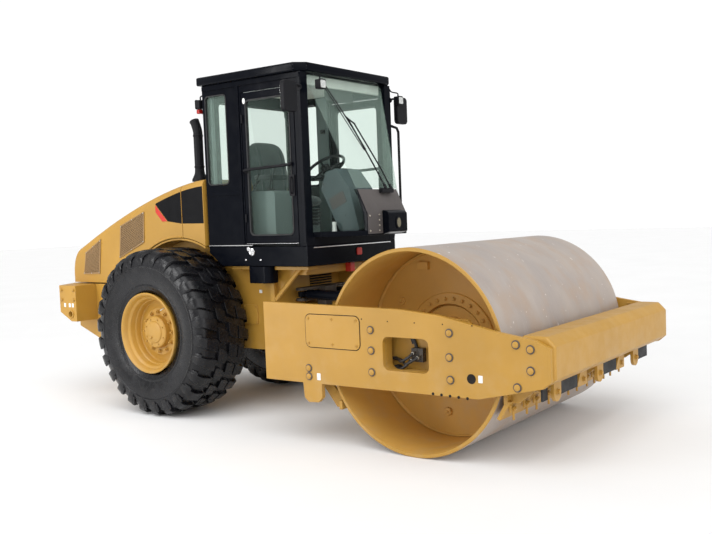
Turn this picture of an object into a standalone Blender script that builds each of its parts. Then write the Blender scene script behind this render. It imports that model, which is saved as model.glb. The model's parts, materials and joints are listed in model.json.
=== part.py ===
"""Articulated road roller with one smooth drum: metres, +Z up, front towards -Y, right side at -X.

The origin is on the ground under the middle of the machine. The front frame carries the drum, the
hitch joins it to the rear frame, and the rear frame carries the cab, the engine and two tyres.
"""

import math

import bmesh
import bpy
from mathutils import Matrix, Vector

# Driving dimensions
WHEELBASE = 2.90
FRONT_REACH = 1.16  # drum axis to the face of the front bumper
REAR_REACH = 1.74  # rear axle to the end of the counterweight
FRAME_WIDTH = 2.30
HEIGHT = 3.07
GAP = 0.0003  # between pieces that touch
FREE = 0.006  # between pieces that move past each other

# Drum
DRUM_RADIUS = 0.767
DRUM_WIDTH = 2.134
SHELL = 0.030
HEAD_INSET = 0.57
HEAD_THICK = 0.030
HUB_RADIUS = 0.20
HUB_FACE = 0.58
FLANGE_RADIUS = 0.38
FLANGE_THICK = 0.020
CORE_RADIUS = 0.13
DRUM_STEPS = 60

# Front frame
PLATE_THICK = 0.040
WINDOW_LOW = 0.646
WINDOW_HIGH = 0.890
MOUNT_Z = (0.62, 0.78, 0.94)
MOUNT_Y = (-0.385, 0.29)
ISOLATOR_RADIUS = 0.055
CARRIER_FACE = 0.98
CARRIER_THICK = 0.030
MOTOR_RADIUS = 0.17
SCRAPER_GAP = 0.015
BLADE_HALF = 0.035
BEAM_LOW = 0.56
BEAM_TOP = 0.985  # of the crossmember behind the drum
BEAM_FRONT = -0.59  # from the pivot
BEAM_REAR = -0.33
PLATE_REAR = -0.09  # end of the side plates, from the pivot

# Hitch and steering
HITCH_Z = 0.80
EAR_INSIDE = 0.15  # half the gap between the two ears of the crossmember
EAR_THICK = 0.05
EAR_RADIUS = 0.11
KNUCKLE_RADIUS = 0.10
FLANGE_Y = 0.27  # pivot to the face of the oscillation flange
FLANGE_R = 0.17
BEARING_R = 0.19
RAM_Z = 1.08
RAM_FOOT = (0.27, 0.27)  # x, and y behind the pivot, of the barrel's pin
RAM_EYE = (0.32, -0.50)  # x, and y behind the pivot, of the rod's pin
BARREL_RADIUS = 0.045
BORE_RADIUS = 0.026
ROD_RADIUS = 0.022
BARREL_LENGTH = 0.50
BARREL_FOOT = 0.085  # from the pin to the closed end of the barrel
ROD_LENGTH = 0.49
EYE_RADIUS = 0.036
EYE_THICK = 0.05
LUG_THICK = 0.025
LUG_REACH = 0.045  # of the fork past its eye, towards the barrel

# Rear frame, measured from the rear axle where a value is a place along Y
RAIL_HALF = 0.45
RAIL_THICK = 0.04
FRAME_LOW = 0.58
FRAME_TOP = 1.17
FRAME_FRONT = -1.06
FRAME_REAR = 1.60
TAIL_HALF = 0.655
TAIL_FRONT = 0.84
TAIL_LAP = 0.004  # keeps the tail's faces off the planes of the rails
AXLE_TUBE = 0.11
AXLE_HALF = 0.48
NOTCH_HALF = 0.22
WEIGHT_HALF = 0.90

# Wheels
TYRE_RADIUS = 0.77
AXLE_Z = TYRE_RADIUS
TYRE_INNER = 0.505
TYRE_OUTER = 1.092
RIM_RADIUS = 0.372
BEAD_RADIUS = 0.330
WHEEL_STEPS = 40

# Hood, measured from the rear axle along Y
HOOD_HALF = 0.66
HOOD_THICK = 0.025
COWL_FRONT = -0.37
HOOD_FRONT = -0.07
HOOD_REAR = 1.64
HOOD_LOW = 1.18
HOOD_TOP = 2.155
HOOD_FALL = 0.235
HOOD_TAIL = 1.52
ARCH_RADIUS = 0.856
LINER_THICK = 0.020
EXHAUST_PLACE = (-0.50, -0.17)

# Cab
CAB_HALF = 0.64
CAB_REAR = -0.40  # from the rear axle
CAB_LENGTH = 1.19
FLOOR_LOW = 1.36
FLOOR_TOP = 1.53
ROOF_THICK = 0.075
ROOF_OVER = 0.035
WALL = 0.045
POST = 0.085
PILLAR_FRONT = -0.88  # front edge of the pillar behind the door, from the rear axle
DOOR_THICK = 0.035
DOOR_LOW = 1.565
DOOR_HIGH = 2.880
NOSE_HALF = 0.29
NOSE_Y = -0.38  # front of the nose, from the cab's front
NOSE_LOW = 1.60
NOSE_THICK = 0.045
SCREEN_LOW = 2.00
SCREEN_SET = -0.28  # foot of the windscreen, from the cab's front
SCREEN_TOP_HALF = 0.45
GLASS = 0.008
SEAT_Y = 0.76  # middle of the seat, from the cab's front

LENGTH = FRONT_REACH + WHEELBASE + REAR_REACH
DRUM_Y = FRONT_REACH - LENGTH / 2
AXLE_Y = DRUM_Y + WHEELBASE
PIVOT_Y = (DRUM_Y + AXLE_Y) / 2
PLATE_OUT = FRAME_WIDTH / 2
PLATE_IN = PLATE_OUT - PLATE_THICK
CAB_REAR_Y = AXLE_Y + CAB_REAR
CAB_FRONT_Y = CAB_REAR_Y - CAB_LENGTH
ROOF_LOW = HEIGHT - ROOF_THICK
WALL_TOP = ROOF_LOW - GAP

SIDES = (("right", -1), ("left", 1))


# ---------------------------------------------------------------- tools


def clear_scene():
    for old in list(bpy.data.objects):
        bpy.data.objects.remove(old)


def new_collection(name):
    made = bpy.data.collections.new(name)
    bpy.context.scene.collection.children.link(made)
    return made


def finish(name, colour, roughness=0.5, metallic=0.0):
    made = bpy.data.materials.new(name)
    made.use_nodes = True
    shader = made.node_tree.nodes["Principled BSDF"]
    shader.inputs["Base Color"].default_value = (*colour, 1)
    shader.inputs["Roughness"].default_value = roughness
    shader.inputs["Metallic"].default_value = metallic
    made.diffuse_color = (*colour, 1)
    return made


clear_scene()
PARTS = new_collection("road_roller")
CUTTERS = new_collection("cutters")
CUTTERS.hide_render = True

YELLOW = finish("yellow_paint", (0.72, 0.42, 0.10), 0.4)
BLACK = finish("black_paint", (0.02, 0.02, 0.024), 0.3)
STEEL = finish("worn_steel", (0.42, 0.39, 0.38), 0.35, 1.0)
CHROME = finish("chrome", (0.8, 0.8, 0.8), 0.15, 1.0)
RUBBER = finish("tyre_rubber", (0.03, 0.03, 0.033), 0.7)
GLAZING = finish("tinted_glass", (0.6, 0.75, 0.68), 0.05)
TRIM = finish("cab_trim", (0.10, 0.15, 0.14), 0.6)
FABRIC = finish("seat_cover", (0.05, 0.08, 0.08), 0.8)
IRON = finish("cast_iron", (0.10, 0.09, 0.08), 0.6)


def add(name, mesh, material):
    made = bpy.data.objects.new(name, mesh)
    PARTS.objects.link(made)
    mesh.materials.clear()
    mesh.materials.append(material)
    return made


def from_bmesh(name, bm, material):
    mesh = bpy.data.meshes.new(name)
    bm.to_mesh(mesh)
    bm.free()
    return add(name, mesh, material)


def box(name, x, y, z, material=YELLOW):
    """A box from its limits along each axis."""
    bm = bmesh.new()
    bmesh.ops.create_cube(bm, size=1)
    size = Matrix.Diagonal((x[1] - x[0], y[1] - y[0], z[1] - z[0], 1))
    middle = Vector((x[0] + x[1], y[0] + y[1], z[0] + z[1])) / 2
    bmesh.ops.transform(bm, matrix=Matrix.Translation(middle) @ size, verts=bm.verts)
    return from_bmesh(name, bm, material)


def rod(name, start, end, radius, material=YELLOW, segments=24, end_radius=None):
    """A round bar, or a cone, from one point to another."""
    start, end = Vector(start), Vector(end)
    bm = bmesh.new()
    bmesh.ops.create_cone(
        bm,
        cap_ends=True,
        segments=segments,
        radius1=radius,
        radius2=radius if end_radius is None else end_radius,
        depth=(end - start).length,
    )
    turn = (end - start).to_track_quat("Z", "Y").to_matrix().to_4x4()
    bmesh.ops.transform(bm, matrix=Matrix.Translation((start + end) / 2) @ turn, verts=bm.verts)
    return from_bmesh(name, bm, material)


def mesh_of(curve_object, material):
    """The curve's solid as a mesh object with its caps welded on."""
    bpy.context.view_layer.update()
    graph = bpy.context.evaluated_depsgraph_get()
    mesh = bpy.data.meshes.new_from_object(curve_object.evaluated_get(graph))
    bm = bmesh.new()
    bm.from_mesh(mesh)
    bmesh.ops.remove_doubles(bm, verts=bm.verts, dist=0.00001)
    bmesh.ops.recalc_face_normals(bm, faces=bm.faces)
    bm.transform(curve_object.matrix_world)
    bm.to_mesh(mesh)
    bm.free()
    name = curve_object.name
    bpy.data.objects.remove(curve_object)
    return add(name, mesh, material)


def plate(name, outlines, axis, span, material=YELLOW):
    """A flat outline, with any holes after it, thickened between two places on an axis.

    Outline points are (y, z) for axis X, (x, z) for axis Y and (x, y) for axis Z.
    """
    curve = bpy.data.curves.new(name, "CURVE")
    curve.dimensions = "2D"
    curve.fill_mode = "BOTH"
    curve.extrude = abs(span[1] - span[0]) / 2
    for outline in outlines:
        spline = curve.splines.new("POLY")
        spline.points.add(len(outline) - 1)
        for point, (u, v) in zip(spline.points, outline):
            point.co = (u, v, 0, 1)
        spline.use_cyclic_u = True
    made = bpy.data.objects.new(name, curve)
    bpy.context.scene.collection.objects.link(made)
    turns = {
        "X": Matrix(((0, 0, 1), (1, 0, 0), (0, 1, 0))),
        "Y": Matrix(((1, 0, 0), (0, 0, -1), (0, 1, 0))),
        "Z": Matrix.Identity(3),
    }
    middle = Vector((0, 0, 0))
    middle["XYZ".index(axis)] = (span[0] + span[1]) / 2
    made.matrix_world = Matrix.Translation(middle) @ turns[axis].to_4x4()
    return mesh_of(made, material)


def tube(name, points, radius, material=BLACK, resolution=3):
    curve = bpy.data.curves.new(name, "CURVE")
    curve.dimensions = "3D"
    curve.bevel_depth = radius
    curve.bevel_resolution = resolution
    curve.use_fill_caps = True
    spline = curve.splines.new("POLY")
    spline.points.add(len(points) - 1)
    for point, place in zip(spline.points, points):
        point.co = (*place, 1)
    made = bpy.data.objects.new(name, curve)
    bpy.context.scene.collection.objects.link(made)
    return mesh_of(made, material)


def turned(name, profile, centre, side, segments, material, closed=False):
    """A profile of (radius, height) points turned about the X axis, with heights towards one side."""
    bm = bmesh.new()
    verts = [bm.verts.new((radius, 0, height)) for radius, height in profile]
    for first, second in zip(verts, verts[1:]):
        bm.edges.new((first, second))
    if closed:
        bm.edges.new((verts[-1], verts[0]))
    made = from_bmesh(name, bm, material)
    screw = made.modifiers.new("turn", "SCREW")
    screw.axis = "Z"
    screw.angle = math.tau
    screw.steps = segments
    screw.render_steps = segments
    screw.use_merge_vertices = True
    screw.merge_threshold = 0.0001
    made.location = centre
    made.rotation_euler = (0, side * math.pi / 2, 0)
    return made


def surface(name, faces, thickness, material):
    """An open surface of the given corner loops, thickened inwards."""
    bm = bmesh.new()
    for corners in faces:
        bm.faces.new([bm.verts.new(corner) for corner in corners])
    bmesh.ops.remove_doubles(bm, verts=bm.verts, dist=0.0001)
    bmesh.ops.recalc_face_normals(bm, faces=bm.faces)
    made = from_bmesh(name, bm, material)
    shell = made.modifiers.new("thickness", "SOLIDIFY")
    shell.thickness = thickness
    shell.offset = 0
    return made


def with_boolean(target, operation, others):
    for other in others:
        PARTS.objects.unlink(other)
        CUTTERS.objects.link(other)
        other.hide_render = True
        other.display_type = "WIRE"
        step = target.modifiers.new(operation.lower(), "BOOLEAN")
        step.operation = operation
        step.solver = "EXACT"
        step.object = other
    return target


def join(target, *others):
    return with_boolean(target, "UNION", others)


def cut(target, *others):
    return with_boolean(target, "DIFFERENCE", others)


def keep(target, *others):
    return with_boolean(target, "INTERSECT", others)


def bevel(target, width, segments=2):
    step = target.modifiers.new("bevel", "BEVEL")
    step.width = width
    step.segments = segments
    step.limit_method = "ANGLE"
    return target


def arc(centre, radius, start, end, steps):
    """Points on an arc, its angles in degrees from the outline's first axis."""
    points = []
    for i in range(steps + 1):
        angle = math.radians(start + (end - start) * i / steps)
        points.append((centre[0] + radius * math.cos(angle), centre[1] + radius * math.sin(angle)))
    return points


def rounded(points, radius, steps=3):
    """The outline with each corner made an arc."""
    made = []
    for i, corner in enumerate(points):
        corner = Vector(corner)
        before = (Vector(points[i - 1]) - corner).normalized()
        after = (Vector(points[(i + 1) % len(points)]) - corner).normalized()
        half = before.angle(after) / 2
        reach = radius / math.tan(half)
        centre = corner + (before + after).normalized() * radius / math.sin(half)
        first = corner + before * reach - centre
        last = corner + after * reach - centre
        for step in range(steps + 1):
            made.append(tuple(centre + first.lerp(last, step / steps).normalized() * radius))
    return made


def shifted(points, first, second=0.0):
    return [(u + first, v + second) for u, v in points]


def rectangle(u, v):
    return [(u[0], v[0]), (u[1], v[0]), (u[1], v[1]), (u[0], v[1])]


def span(side, inner, outer):
    """The two X places of a piece on one side, in rising order."""
    return tuple(sorted((side * inner, side * outer)))


# ---------------------------------------------------------------- drum


def make_drum():
    centre = (0, DRUM_Y, DRUM_RADIUS)
    half = DRUM_WIDTH / 2
    inside = DRUM_RADIUS - SHELL
    ring = [(DRUM_RADIUS, half), (DRUM_RADIUS, -half), (inside, -half), (inside, half)]
    turned("drum_shell", ring, centre, 1, DRUM_STEPS, STEEL, closed=True)
    face = half - HEAD_INSET
    back = face - HEAD_THICK
    upper = [
        (0, HUB_FACE),
        (HUB_RADIUS, HUB_FACE),
        (HUB_RADIUS, face + FLANGE_THICK),
        (FLANGE_RADIUS, face + FLANGE_THICK),
        (FLANGE_RADIUS, face),
        (inside - GAP, face),
        (inside - GAP, back),
        (CORE_RADIUS, back),
    ]
    lower = [(radius, -height) for radius, height in reversed(upper)]
    turned("drum_heads", upper + lower, centre, 1, DRUM_STEPS, YELLOW)


# ---------------------------------------------------------------- front frame


def side_plate_outline():
    end = WHEELBASE / 2 + PLATE_REAR
    top = [(end, 1.113), (0.04, 1.095), (-0.295, 1.064), (-0.755, 0.970), (-1.04, 0.927)]
    front = [(-1.145, 0.88), (-1.145, 0.66), (-1.09, 0.613)]
    bottom = [(-0.60, 0.500), (0.78, 0.492)]
    tab = [(0.78, 0.385), (0.82, 0.345), (0.92, 0.340), (0.96, 0.375)]
    rear = [(0.97, 0.490), (end, 0.490)]
    return shifted(top + front + bottom + tab + rear, DRUM_Y)


def make_side_plates():
    window = rectangle((DRUM_Y - 0.209, DRUM_Y + 0.187), (WINDOW_LOW, WINDOW_HIGH))
    for name, side in SIDES:
        outlines = [side_plate_outline(), rounded(window, 0.045)]
        plate(f"front_plate_{name}", outlines, "X", span(side, PLATE_IN, PLATE_OUT))


def make_bumper():
    low = [(-0.93, 0.62), (-1.09, 0.62)]
    front = [(-FRONT_REACH, 0.67), (-FRONT_REACH, 0.89)]
    top = [(-1.10, 0.95), (-0.93, 0.95), (-0.87, 0.90), (-0.87, 0.70)]
    outline = rounded(shifted(low + front + top, DRUM_Y), 0.02, 2)
    reach = PLATE_IN - GAP
    plate("front_bumper", [outline], "X", (-reach, reach))


def scraper(name, side, height, foot_y, foot_z, count):
    """A blade close to the drum and its brackets up to the beam that carries it."""
    drop = height + BLADE_HALF - DRUM_RADIUS
    surface_y = math.sqrt(DRUM_RADIUS**2 - drop**2)
    blade_y = surface_y + SCRAPER_GAP
    reach = DRUM_WIDTH / 2 - 0.01
    ys = sorted((DRUM_Y + side * blade_y, DRUM_Y + side * (blade_y + 0.03)))
    blade = box(name, (-reach, reach), ys, (height - BLADE_HALF, height + BLADE_HALF))
    for i in range(count):
        x = -reach + 0.06 + (2 * reach - 0.12) * i / (count - 1)
        arm = [
            (side * (blade_y + 0.012), height - 0.03),
            (side * (blade_y + 0.012), height + 0.03),
            (side * foot_y, foot_z),
            (side * (foot_y + 0.09), foot_z),
            (side * (blade_y + 0.09), height - 0.03),
        ]
        arm = shifted(arm, DRUM_Y)
        join(blade, plate(f"{name}_arm_{i}", [arm], "X", (x - 0.012, x + 0.012)))
    return blade


def make_crossmember():
    reach = PLATE_IN - GAP
    rear_y = PIVOT_Y + BEAM_REAR
    front_y = PIVOT_Y + BEAM_FRONT
    beam = box("rear_crossmember", (-reach, reach), (front_y, rear_y), (BEAM_LOW, BEAM_TOP))
    for level in (-1, 1):
        low, high = sorted(
            (HITCH_Z + level * EAR_INSIDE, HITCH_Z + level * (EAR_INSIDE + EAR_THICK))
        )
        ear = [(-0.24, rear_y - 0.02), (0.24, rear_y - 0.02)]
        ear += arc((0, PIVOT_Y), EAR_RADIUS, -20, 200, 10)
        join(beam, plate(f"ear_{level}", [ear], "Z", (low, high)))
    cap_low = HITCH_Z + EAR_INSIDE + EAR_THICK
    join(beam, rod("pin_cap", (0, PIVOT_Y, cap_low - 0.01), (0, PIVOT_Y, cap_low + 0.02), 0.06))
    for _, side in SIDES:
        join(beam, *rod_lugs(side))
    return beam


def rod_lugs(side):
    """The fork on the crossmember that the steering rod's eye sits in."""
    x = side * RAM_EYE[0]
    eye_y = PIVOT_Y + RAM_EYE[1]
    half = EYE_THICK / 2 + 0.01
    wide = (x - 0.07, x + 0.07)
    back = eye_y - 0.14
    near = eye_y + LUG_REACH
    base = box("lug_base", wide, (back, near), (BEAM_TOP - 0.02, RAM_Z - half))
    web_z = (RAM_Z - half - 0.01, RAM_Z + half + 0.01)
    web = box("lug_web", (x - 0.06, x + 0.06), (back + 0.01, back + 0.05), web_z)
    top = box("lug_top", wide, (back, near), (RAM_Z + half, RAM_Z + half + LUG_THICK))
    return base, web, top


def make_drum_mounts():
    """The plates on rubber isolators that hold the drum's drive inside its ends."""
    for name, side in SIDES:
        face = CARRIER_FACE - CARRIER_THICK
        ys = (DRUM_Y + MOUNT_Y[0] - 0.08, DRUM_Y + MOUNT_Y[1] + 0.08)
        outline = rounded(rectangle(ys, (MOUNT_Z[0] - 0.08, MOUNT_Z[-1] + 0.08)), 0.05)
        carrier = plate(f"drum_mount_{name}", [outline], "X", span(side, face, CARRIER_FACE))
        for z in MOUNT_Z:
            for y in MOUNT_Y:
                start = (side * (CARRIER_FACE - 0.01), DRUM_Y + y, z)
                end = (side * (PLATE_IN - GAP), DRUM_Y + y, z)
                join(carrier, rod("isolator", start, end, ISOLATOR_RADIUS, BLACK, 16))
        inner = (side * (HUB_FACE + 0.02), DRUM_Y, DRUM_RADIUS)
        outer = (side * (face + 0.01), DRUM_Y, DRUM_RADIUS)
        join(carrier, rod("motor", inner, outer, MOTOR_RADIUS, YELLOW, 32))


# ---------------------------------------------------------------- hitch and steering


def make_hitch():
    """The knuckle between the crossmember's ears, with the flange that the rear frame's bearing holds."""
    inside = EAR_INSIDE - 0.003
    low, high = HITCH_Z - inside, HITCH_Z + inside
    hitch = rod("hitch_yoke", (0, PIVOT_Y, low), (0, PIVOT_Y, high), KNUCKLE_RADIUS, IRON, 32)
    flange_y = PIVOT_Y + FLANGE_Y
    join(hitch, box("neck", (-0.09, 0.09), (PIVOT_Y, flange_y - 0.05), (low + 0.02, high - 0.02)))
    start, end = (0, flange_y - 0.07, HITCH_Z), (0, flange_y, HITCH_Z)
    join(hitch, rod("flange", start, end, FLANGE_R, IRON, 32))
    foot_y = PIVOT_Y + RAM_FOOT[1]
    half = EYE_THICK / 2 + 0.01
    column_top = RAM_Z + half + LUG_THICK
    join(hitch, box("column", (-0.08, 0.08), (flange_y - 0.12, flange_y - 0.02), (0.90, column_top)))
    reach = RAM_FOOT[0]
    for low in (RAM_Z - half - LUG_THICK, RAM_Z + half):
        wing = [(-0.08, foot_y - 0.06), (0.08, foot_y - 0.06)]
        wing += arc((reach, foot_y), 0.055, -70, 110, 8)
        wing += arc((-reach, foot_y), 0.055, 70, 250, 8)
        join(hitch, plate("wing", [wing], "Z", (low, low + LUG_THICK), IRON))
    return hitch


def ram_ends(side):
    foot = Vector((side * RAM_FOOT[0], PIVOT_Y + RAM_FOOT[1], RAM_Z))
    eye = Vector((side * RAM_EYE[0], PIVOT_Y + RAM_EYE[1], RAM_Z))
    return foot, eye


def make_rams():
    """Each barrel turns on the hitch, and each rod's eye sits in a fork on the front frame."""
    up = Vector((0, 0, EYE_THICK / 2))
    for name, side in SIDES:
        foot, eye = ram_ends(side)
        along = (eye - foot).normalized()
        barrel = rod(
            f"steering_barrel_{name}", foot + along * BARREL_FOOT, foot + along * BARREL_LENGTH,
            BARREL_RADIUS, BLACK, 24,
        )
        join(barrel, rod("foot_eye", foot - up, foot + up, EYE_RADIUS, BLACK, 20))
        join(barrel, rod("foot_neck", foot, foot + along * (BARREL_FOOT + 0.01), 0.02, BLACK, 16))
        bore = foot + along * (BARREL_FOOT + 0.02), foot + along * (BARREL_LENGTH + 0.05)
        cut(barrel, rod("bore", *bore, BORE_RADIUS, BLACK, 20))
        stem = rod(f"steering_rod_{name}", eye - along * ROD_LENGTH, eye, ROD_RADIUS, CHROME, 16)
        join(stem, rod("rod_eye", eye - up, eye + up, EYE_RADIUS, CHROME, 20))


# ---------------------------------------------------------------- rear frame


def make_rear_frame():
    notch_top = AXLE_Z + 0.19
    low = [
        (FRAME_FRONT, FRAME_LOW),
        (-NOTCH_HALF, FRAME_LOW),
        (-NOTCH_HALF, notch_top),
        (NOTCH_HALF, notch_top),
        (NOTCH_HALF, FRAME_LOW),
        (1.28, FRAME_LOW),
        (FRAME_REAR - TAIL_LAP, 0.70),
    ]
    top = [
        (FRAME_REAR - TAIL_LAP, FRAME_TOP),
        (CAB_REAR + 0.02, FRAME_TOP),
        (CAB_REAR + 0.02, FLOOR_LOW - 0.02),
        (FRAME_FRONT, FLOOR_LOW - 0.02),
    ]
    outline = shifted(low + top, AXLE_Y)
    frame = plate("rear_frame", [outline], "X", (-RAIL_HALF, RAIL_HALF))
    tail_top = FRAME_TOP - TAIL_LAP
    tail = [(TAIL_FRONT, 0.60), (1.28, 0.60), (FRAME_REAR, 0.72)]
    tail += [(FRAME_REAR, tail_top), (TAIL_FRONT, tail_top)]
    join(frame, plate("tail", [shifted(tail, AXLE_Y)], "X", (-TAIL_HALF, TAIL_HALF)))
    inner = RAIL_HALF - RAIL_THICK
    ys = (AXLE_Y + FRAME_FRONT + 0.06, AXLE_Y + FRAME_REAR - 0.06)
    cut(frame, box("tray", (-inner, inner), ys, (FRAME_LOW + 0.05, 2.0)))
    bearing_y = PIVOT_Y + FLANGE_Y + 0.003
    start = (0, bearing_y, HITCH_Z)
    end = (0, AXLE_Y + FRAME_FRONT + 0.02, HITCH_Z)
    join(frame, rod("bearing", start, end, BEARING_R, YELLOW, 32))
    beam_y = AXLE_Y + FRAME_FRONT - 0.34
    beam_z = (FLOOR_LOW - 0.09, FLOOR_LOW - 0.02)
    join(frame, box("platform_beam", (-RAIL_HALF, RAIL_HALF), (beam_y, beam_y + 0.10), beam_z))
    for _, side in SIDES:
        # A few millimetres inside the beam and the rails, so that no two faces lie in one plane.
        gusset = [
            (beam_y + 0.004, beam_z[1] - 0.004),
            (beam_y + 0.004, beam_z[0] + 0.004),
            (beam_y + 0.12, beam_z[0] + 0.004),
            (AXLE_Y + FRAME_FRONT + 0.01, 1.06),
            (AXLE_Y + FRAME_FRONT + 0.01, beam_z[1] - 0.004),
        ]
        xs = span(side, RAIL_HALF - 0.034, RAIL_HALF - 0.004)
        join(frame, plate("gusset", [gusset], "X", xs))
    return frame


def arch_points(radius, steps):
    """The wheel arch, from its foot behind the tyre over to the back of the cab."""
    rear = math.degrees(math.asin((HOOD_LOW - AXLE_Z) / radius))
    front = math.degrees(math.acos((COWL_FRONT + 0.01) / radius))
    return arc((AXLE_Y, AXLE_Z), radius, rear, front, steps)


def make_wheel_wells():
    outer = ARCH_RADIUS - FREE
    inner = outer - LINER_THICK
    for name, side in SIDES:
        edge = arch_points(outer, 14)
        liner = edge + arch_points(inner, 14)[::-1]
        well = plate(f"wheel_well_{name}", [liner], "X", span(side, RAIL_HALF - 0.01, TAIL_HALF))
        foot = [(edge[-1][0], FRAME_TOP + GAP), (edge[0][0], FRAME_TOP + GAP)]
        wall = plate("well_wall", [edge + foot], "X", span(side, RAIL_HALF - 0.02, RAIL_HALF))
        join(well, wall)


def make_axle():
    end = AXLE_HALF
    axle = rod(
        "rear_axle", (-end, AXLE_Y, AXLE_Z), (end, AXLE_Y, AXLE_Z), AXLE_TUBE, YELLOW, 24
    )
    join(axle, rod("differential", (-0.16, AXLE_Y, AXLE_Z), (0.16, AXLE_Y, AXLE_Z), 0.18, YELLOW, 24))
    for _, side in SIDES:
        start, stop = (side * 0.455, AXLE_Y, AXLE_Z), (side * end, AXLE_Y, AXLE_Z)
        join(axle, rod("axle_flange", start, stop, 0.17, YELLOW, 24))


def make_engine():
    box("engine_block", (-0.34, 0.34), (AXLE_Y + 0.26, AXLE_Y + 1.16), (0.72, 1.62), IRON)


def make_counterweight():
    end = REAR_REACH
    inner = TAIL_HALF + GAP
    wrap = FRAME_REAR + GAP
    half = [(inner, wrap), (inner, 1.30), (WEIGHT_HALF, 1.30), (WEIGHT_HALF, 1.57), (0.60, end)]
    outline = half + [(-x, y) for x, y in reversed(half)]
    weight = plate("counterweight", [shifted(outline, 0, AXLE_Y)], "Z", (0.80, 1.165))
    slope = [(1.37, 0.79), (1.85, 1.035), (1.85, 0.70), (1.37, 0.70)]
    cut(weight, plate("slope", [shifted(slope, AXLE_Y)], "X", (-1.1, 1.1)))
    for _, side in SIDES:
        start, stop = (side * 0.60, AXLE_Y + 1.385, 0.875), (side * 1.0, AXLE_Y + 1.385, 0.875)
        cut(weight, rod("tie_hole", start, stop, 0.03, YELLOW, 16))


# ---------------------------------------------------------------- hood


def hood_height(y):
    """Height of the hood's top line at a place behind the rear axle's datum."""
    return HOOD_TOP - HOOD_FALL * (y - COWL_FRONT) ** 1.5


def hood_outline(inset):
    """The side outline, closed well below the hood so that its foot can be cut level."""
    front = COWL_FRONT + inset
    places = [front + (HOOD_TAIL - inset - front) * i / 8 for i in range(9)]
    top = [(y, hood_height(y) - inset) for y in places]
    rear = [(HOOD_REAR - inset, HOOD_LOW), (HOOD_REAR - inset, HOOD_LOW - 0.3)]
    return shifted(top + rear + [(front, HOOD_LOW - 0.3)], AXLE_Y)


def hood_shell(name, y_limits):
    """The slice of the hood between two places, hollow, with its foot and wheel arches cut."""
    shell = plate(name, [hood_outline(0)], "X", (-HOOD_HALF, HOOD_HALF))
    bevel(shell, 0.05, 2)
    inner = HOOD_HALF - HOOD_THICK
    cut(shell, plate("hollow", [hood_outline(HOOD_THICK)], "X", (-inner, inner)))
    ys = (AXLE_Y + y_limits[0], AXLE_Y + y_limits[1])
    keep(shell, box("slice", (-1, 1), ys, (HOOD_LOW, 2.5)))
    start, end = (-1, AXLE_Y, AXLE_Z), (1, AXLE_Y, AXLE_Z)
    cut(shell, rod("arch", start, end, ARCH_RADIUS, YELLOW, 72))
    return shell


def make_hood():
    seam = HOOD_FRONT - FREE
    hood_shell("hood", (HOOD_FRONT, HOOD_REAR + 0.1))
    hood_shell("engine_cowl", (COWL_FRONT - 0.1, seam))


def make_exhaust():
    x, y = EXHAUST_PLACE[0], AXLE_Y + EXHAUST_PLACE[1]
    skirt = 0.075
    foot = hood_height(EXHAUST_PLACE[1] - skirt) + 0.001
    stack = rod("exhaust_stack", (x, y, foot), (x, y, foot + 0.09), skirt, BLACK, 20, 0.045)
    join(stack, rod("pipe", (x, y, foot + 0.06), (x, y, foot + 0.50), 0.045, BLACK, 20))
    join(stack, rod("outlet", (x, y, foot + 0.44), (x, y + 0.05, foot + 0.58), 0.045, BLACK, 20))


# ---------------------------------------------------------------- cab


def make_cab_floor():
    rear = CAB_REAR_Y
    outline = [
        (CAB_FRONT_Y, FLOOR_LOW),
        (rear - 0.16, FLOOR_LOW),
        (rear, FLOOR_LOW + 0.12),
        (rear, FLOOR_TOP),
        (CAB_FRONT_Y, FLOOR_TOP),
    ]
    plate("cab_floor", [outline], "X", (-CAB_HALF, CAB_HALF), BLACK)


def make_nose():
    front = CAB_FRONT_Y + NOSE_Y
    foot = CAB_FRONT_Y + SCREEN_SET
    step = [
        (CAB_FRONT_Y + 0.05, FLOOR_TOP + GAP),
        (CAB_FRONT_Y + 0.05, NOSE_LOW + NOSE_THICK),
        (front, NOSE_LOW + NOSE_THICK),
        (front, NOSE_LOW),
        (CAB_FRONT_Y, NOSE_LOW),
        (CAB_FRONT_Y, FLOOR_TOP + GAP),
    ]
    inner = CAB_HALF - POST - 0.003
    nose = plate("cab_nose", [step], "X", (-inner, inner), BLACK)
    half = [(NOSE_HALF, front), (inner, CAB_FRONT_Y), (inner, CAB_FRONT_Y + 0.1)]
    plan = half + [(-x, y) for x, y in reversed(half)]
    keep(nose, plate("plan", [plan], "Z", (1.5, 2.2)))
    panel = [
        (front, NOSE_LOW + 0.01),
        (front, 1.79),
        (foot, SCREEN_LOW),
        (foot + 0.035, SCREEN_LOW),
        (front + 0.035, 1.79),
        (front + 0.035, NOSE_LOW + 0.01),
    ]
    join(nose, plate("panel", [panel], "X", (-NOSE_HALF, NOSE_HALF), BLACK))


def make_windscreen():
    """One wrap of three panes, raked in the middle and folded back to the front posts."""
    front = CAB_FRONT_Y + NOSE_Y + 0.02
    foot = CAB_FRONT_Y + SCREEN_SET
    inner = CAB_HALF - POST - 0.01
    low = NOSE_LOW + NOSE_THICK + 0.012
    high = WALL_TOP - 0.01
    head_y = CAB_FRONT_Y + 0.045
    edge = NOSE_HALF + 0.012
    middle = [
        (-edge, foot, SCREEN_LOW + 0.012),
        (edge, foot, SCREEN_LOW + 0.012),
        (SCREEN_TOP_HALF, head_y, high),
        (-SCREEN_TOP_HALF, head_y, high),
    ]
    faces = [middle]
    for _, side in SIDES:
        top = (side * SCREEN_TOP_HALF, head_y, high)
        screen = (side * edge, foot, SCREEN_LOW + 0.012)
        bottom = (side * edge, front, low)
        post_low = (side * inner, head_y, low)
        post_high = (side * inner, head_y, high)
        faces.append([screen, bottom, post_low])
        faces.append([screen, post_low, post_high])
        faces.append([screen, post_high, top])
    surface("windscreen", faces, GLASS, GLAZING)


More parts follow.
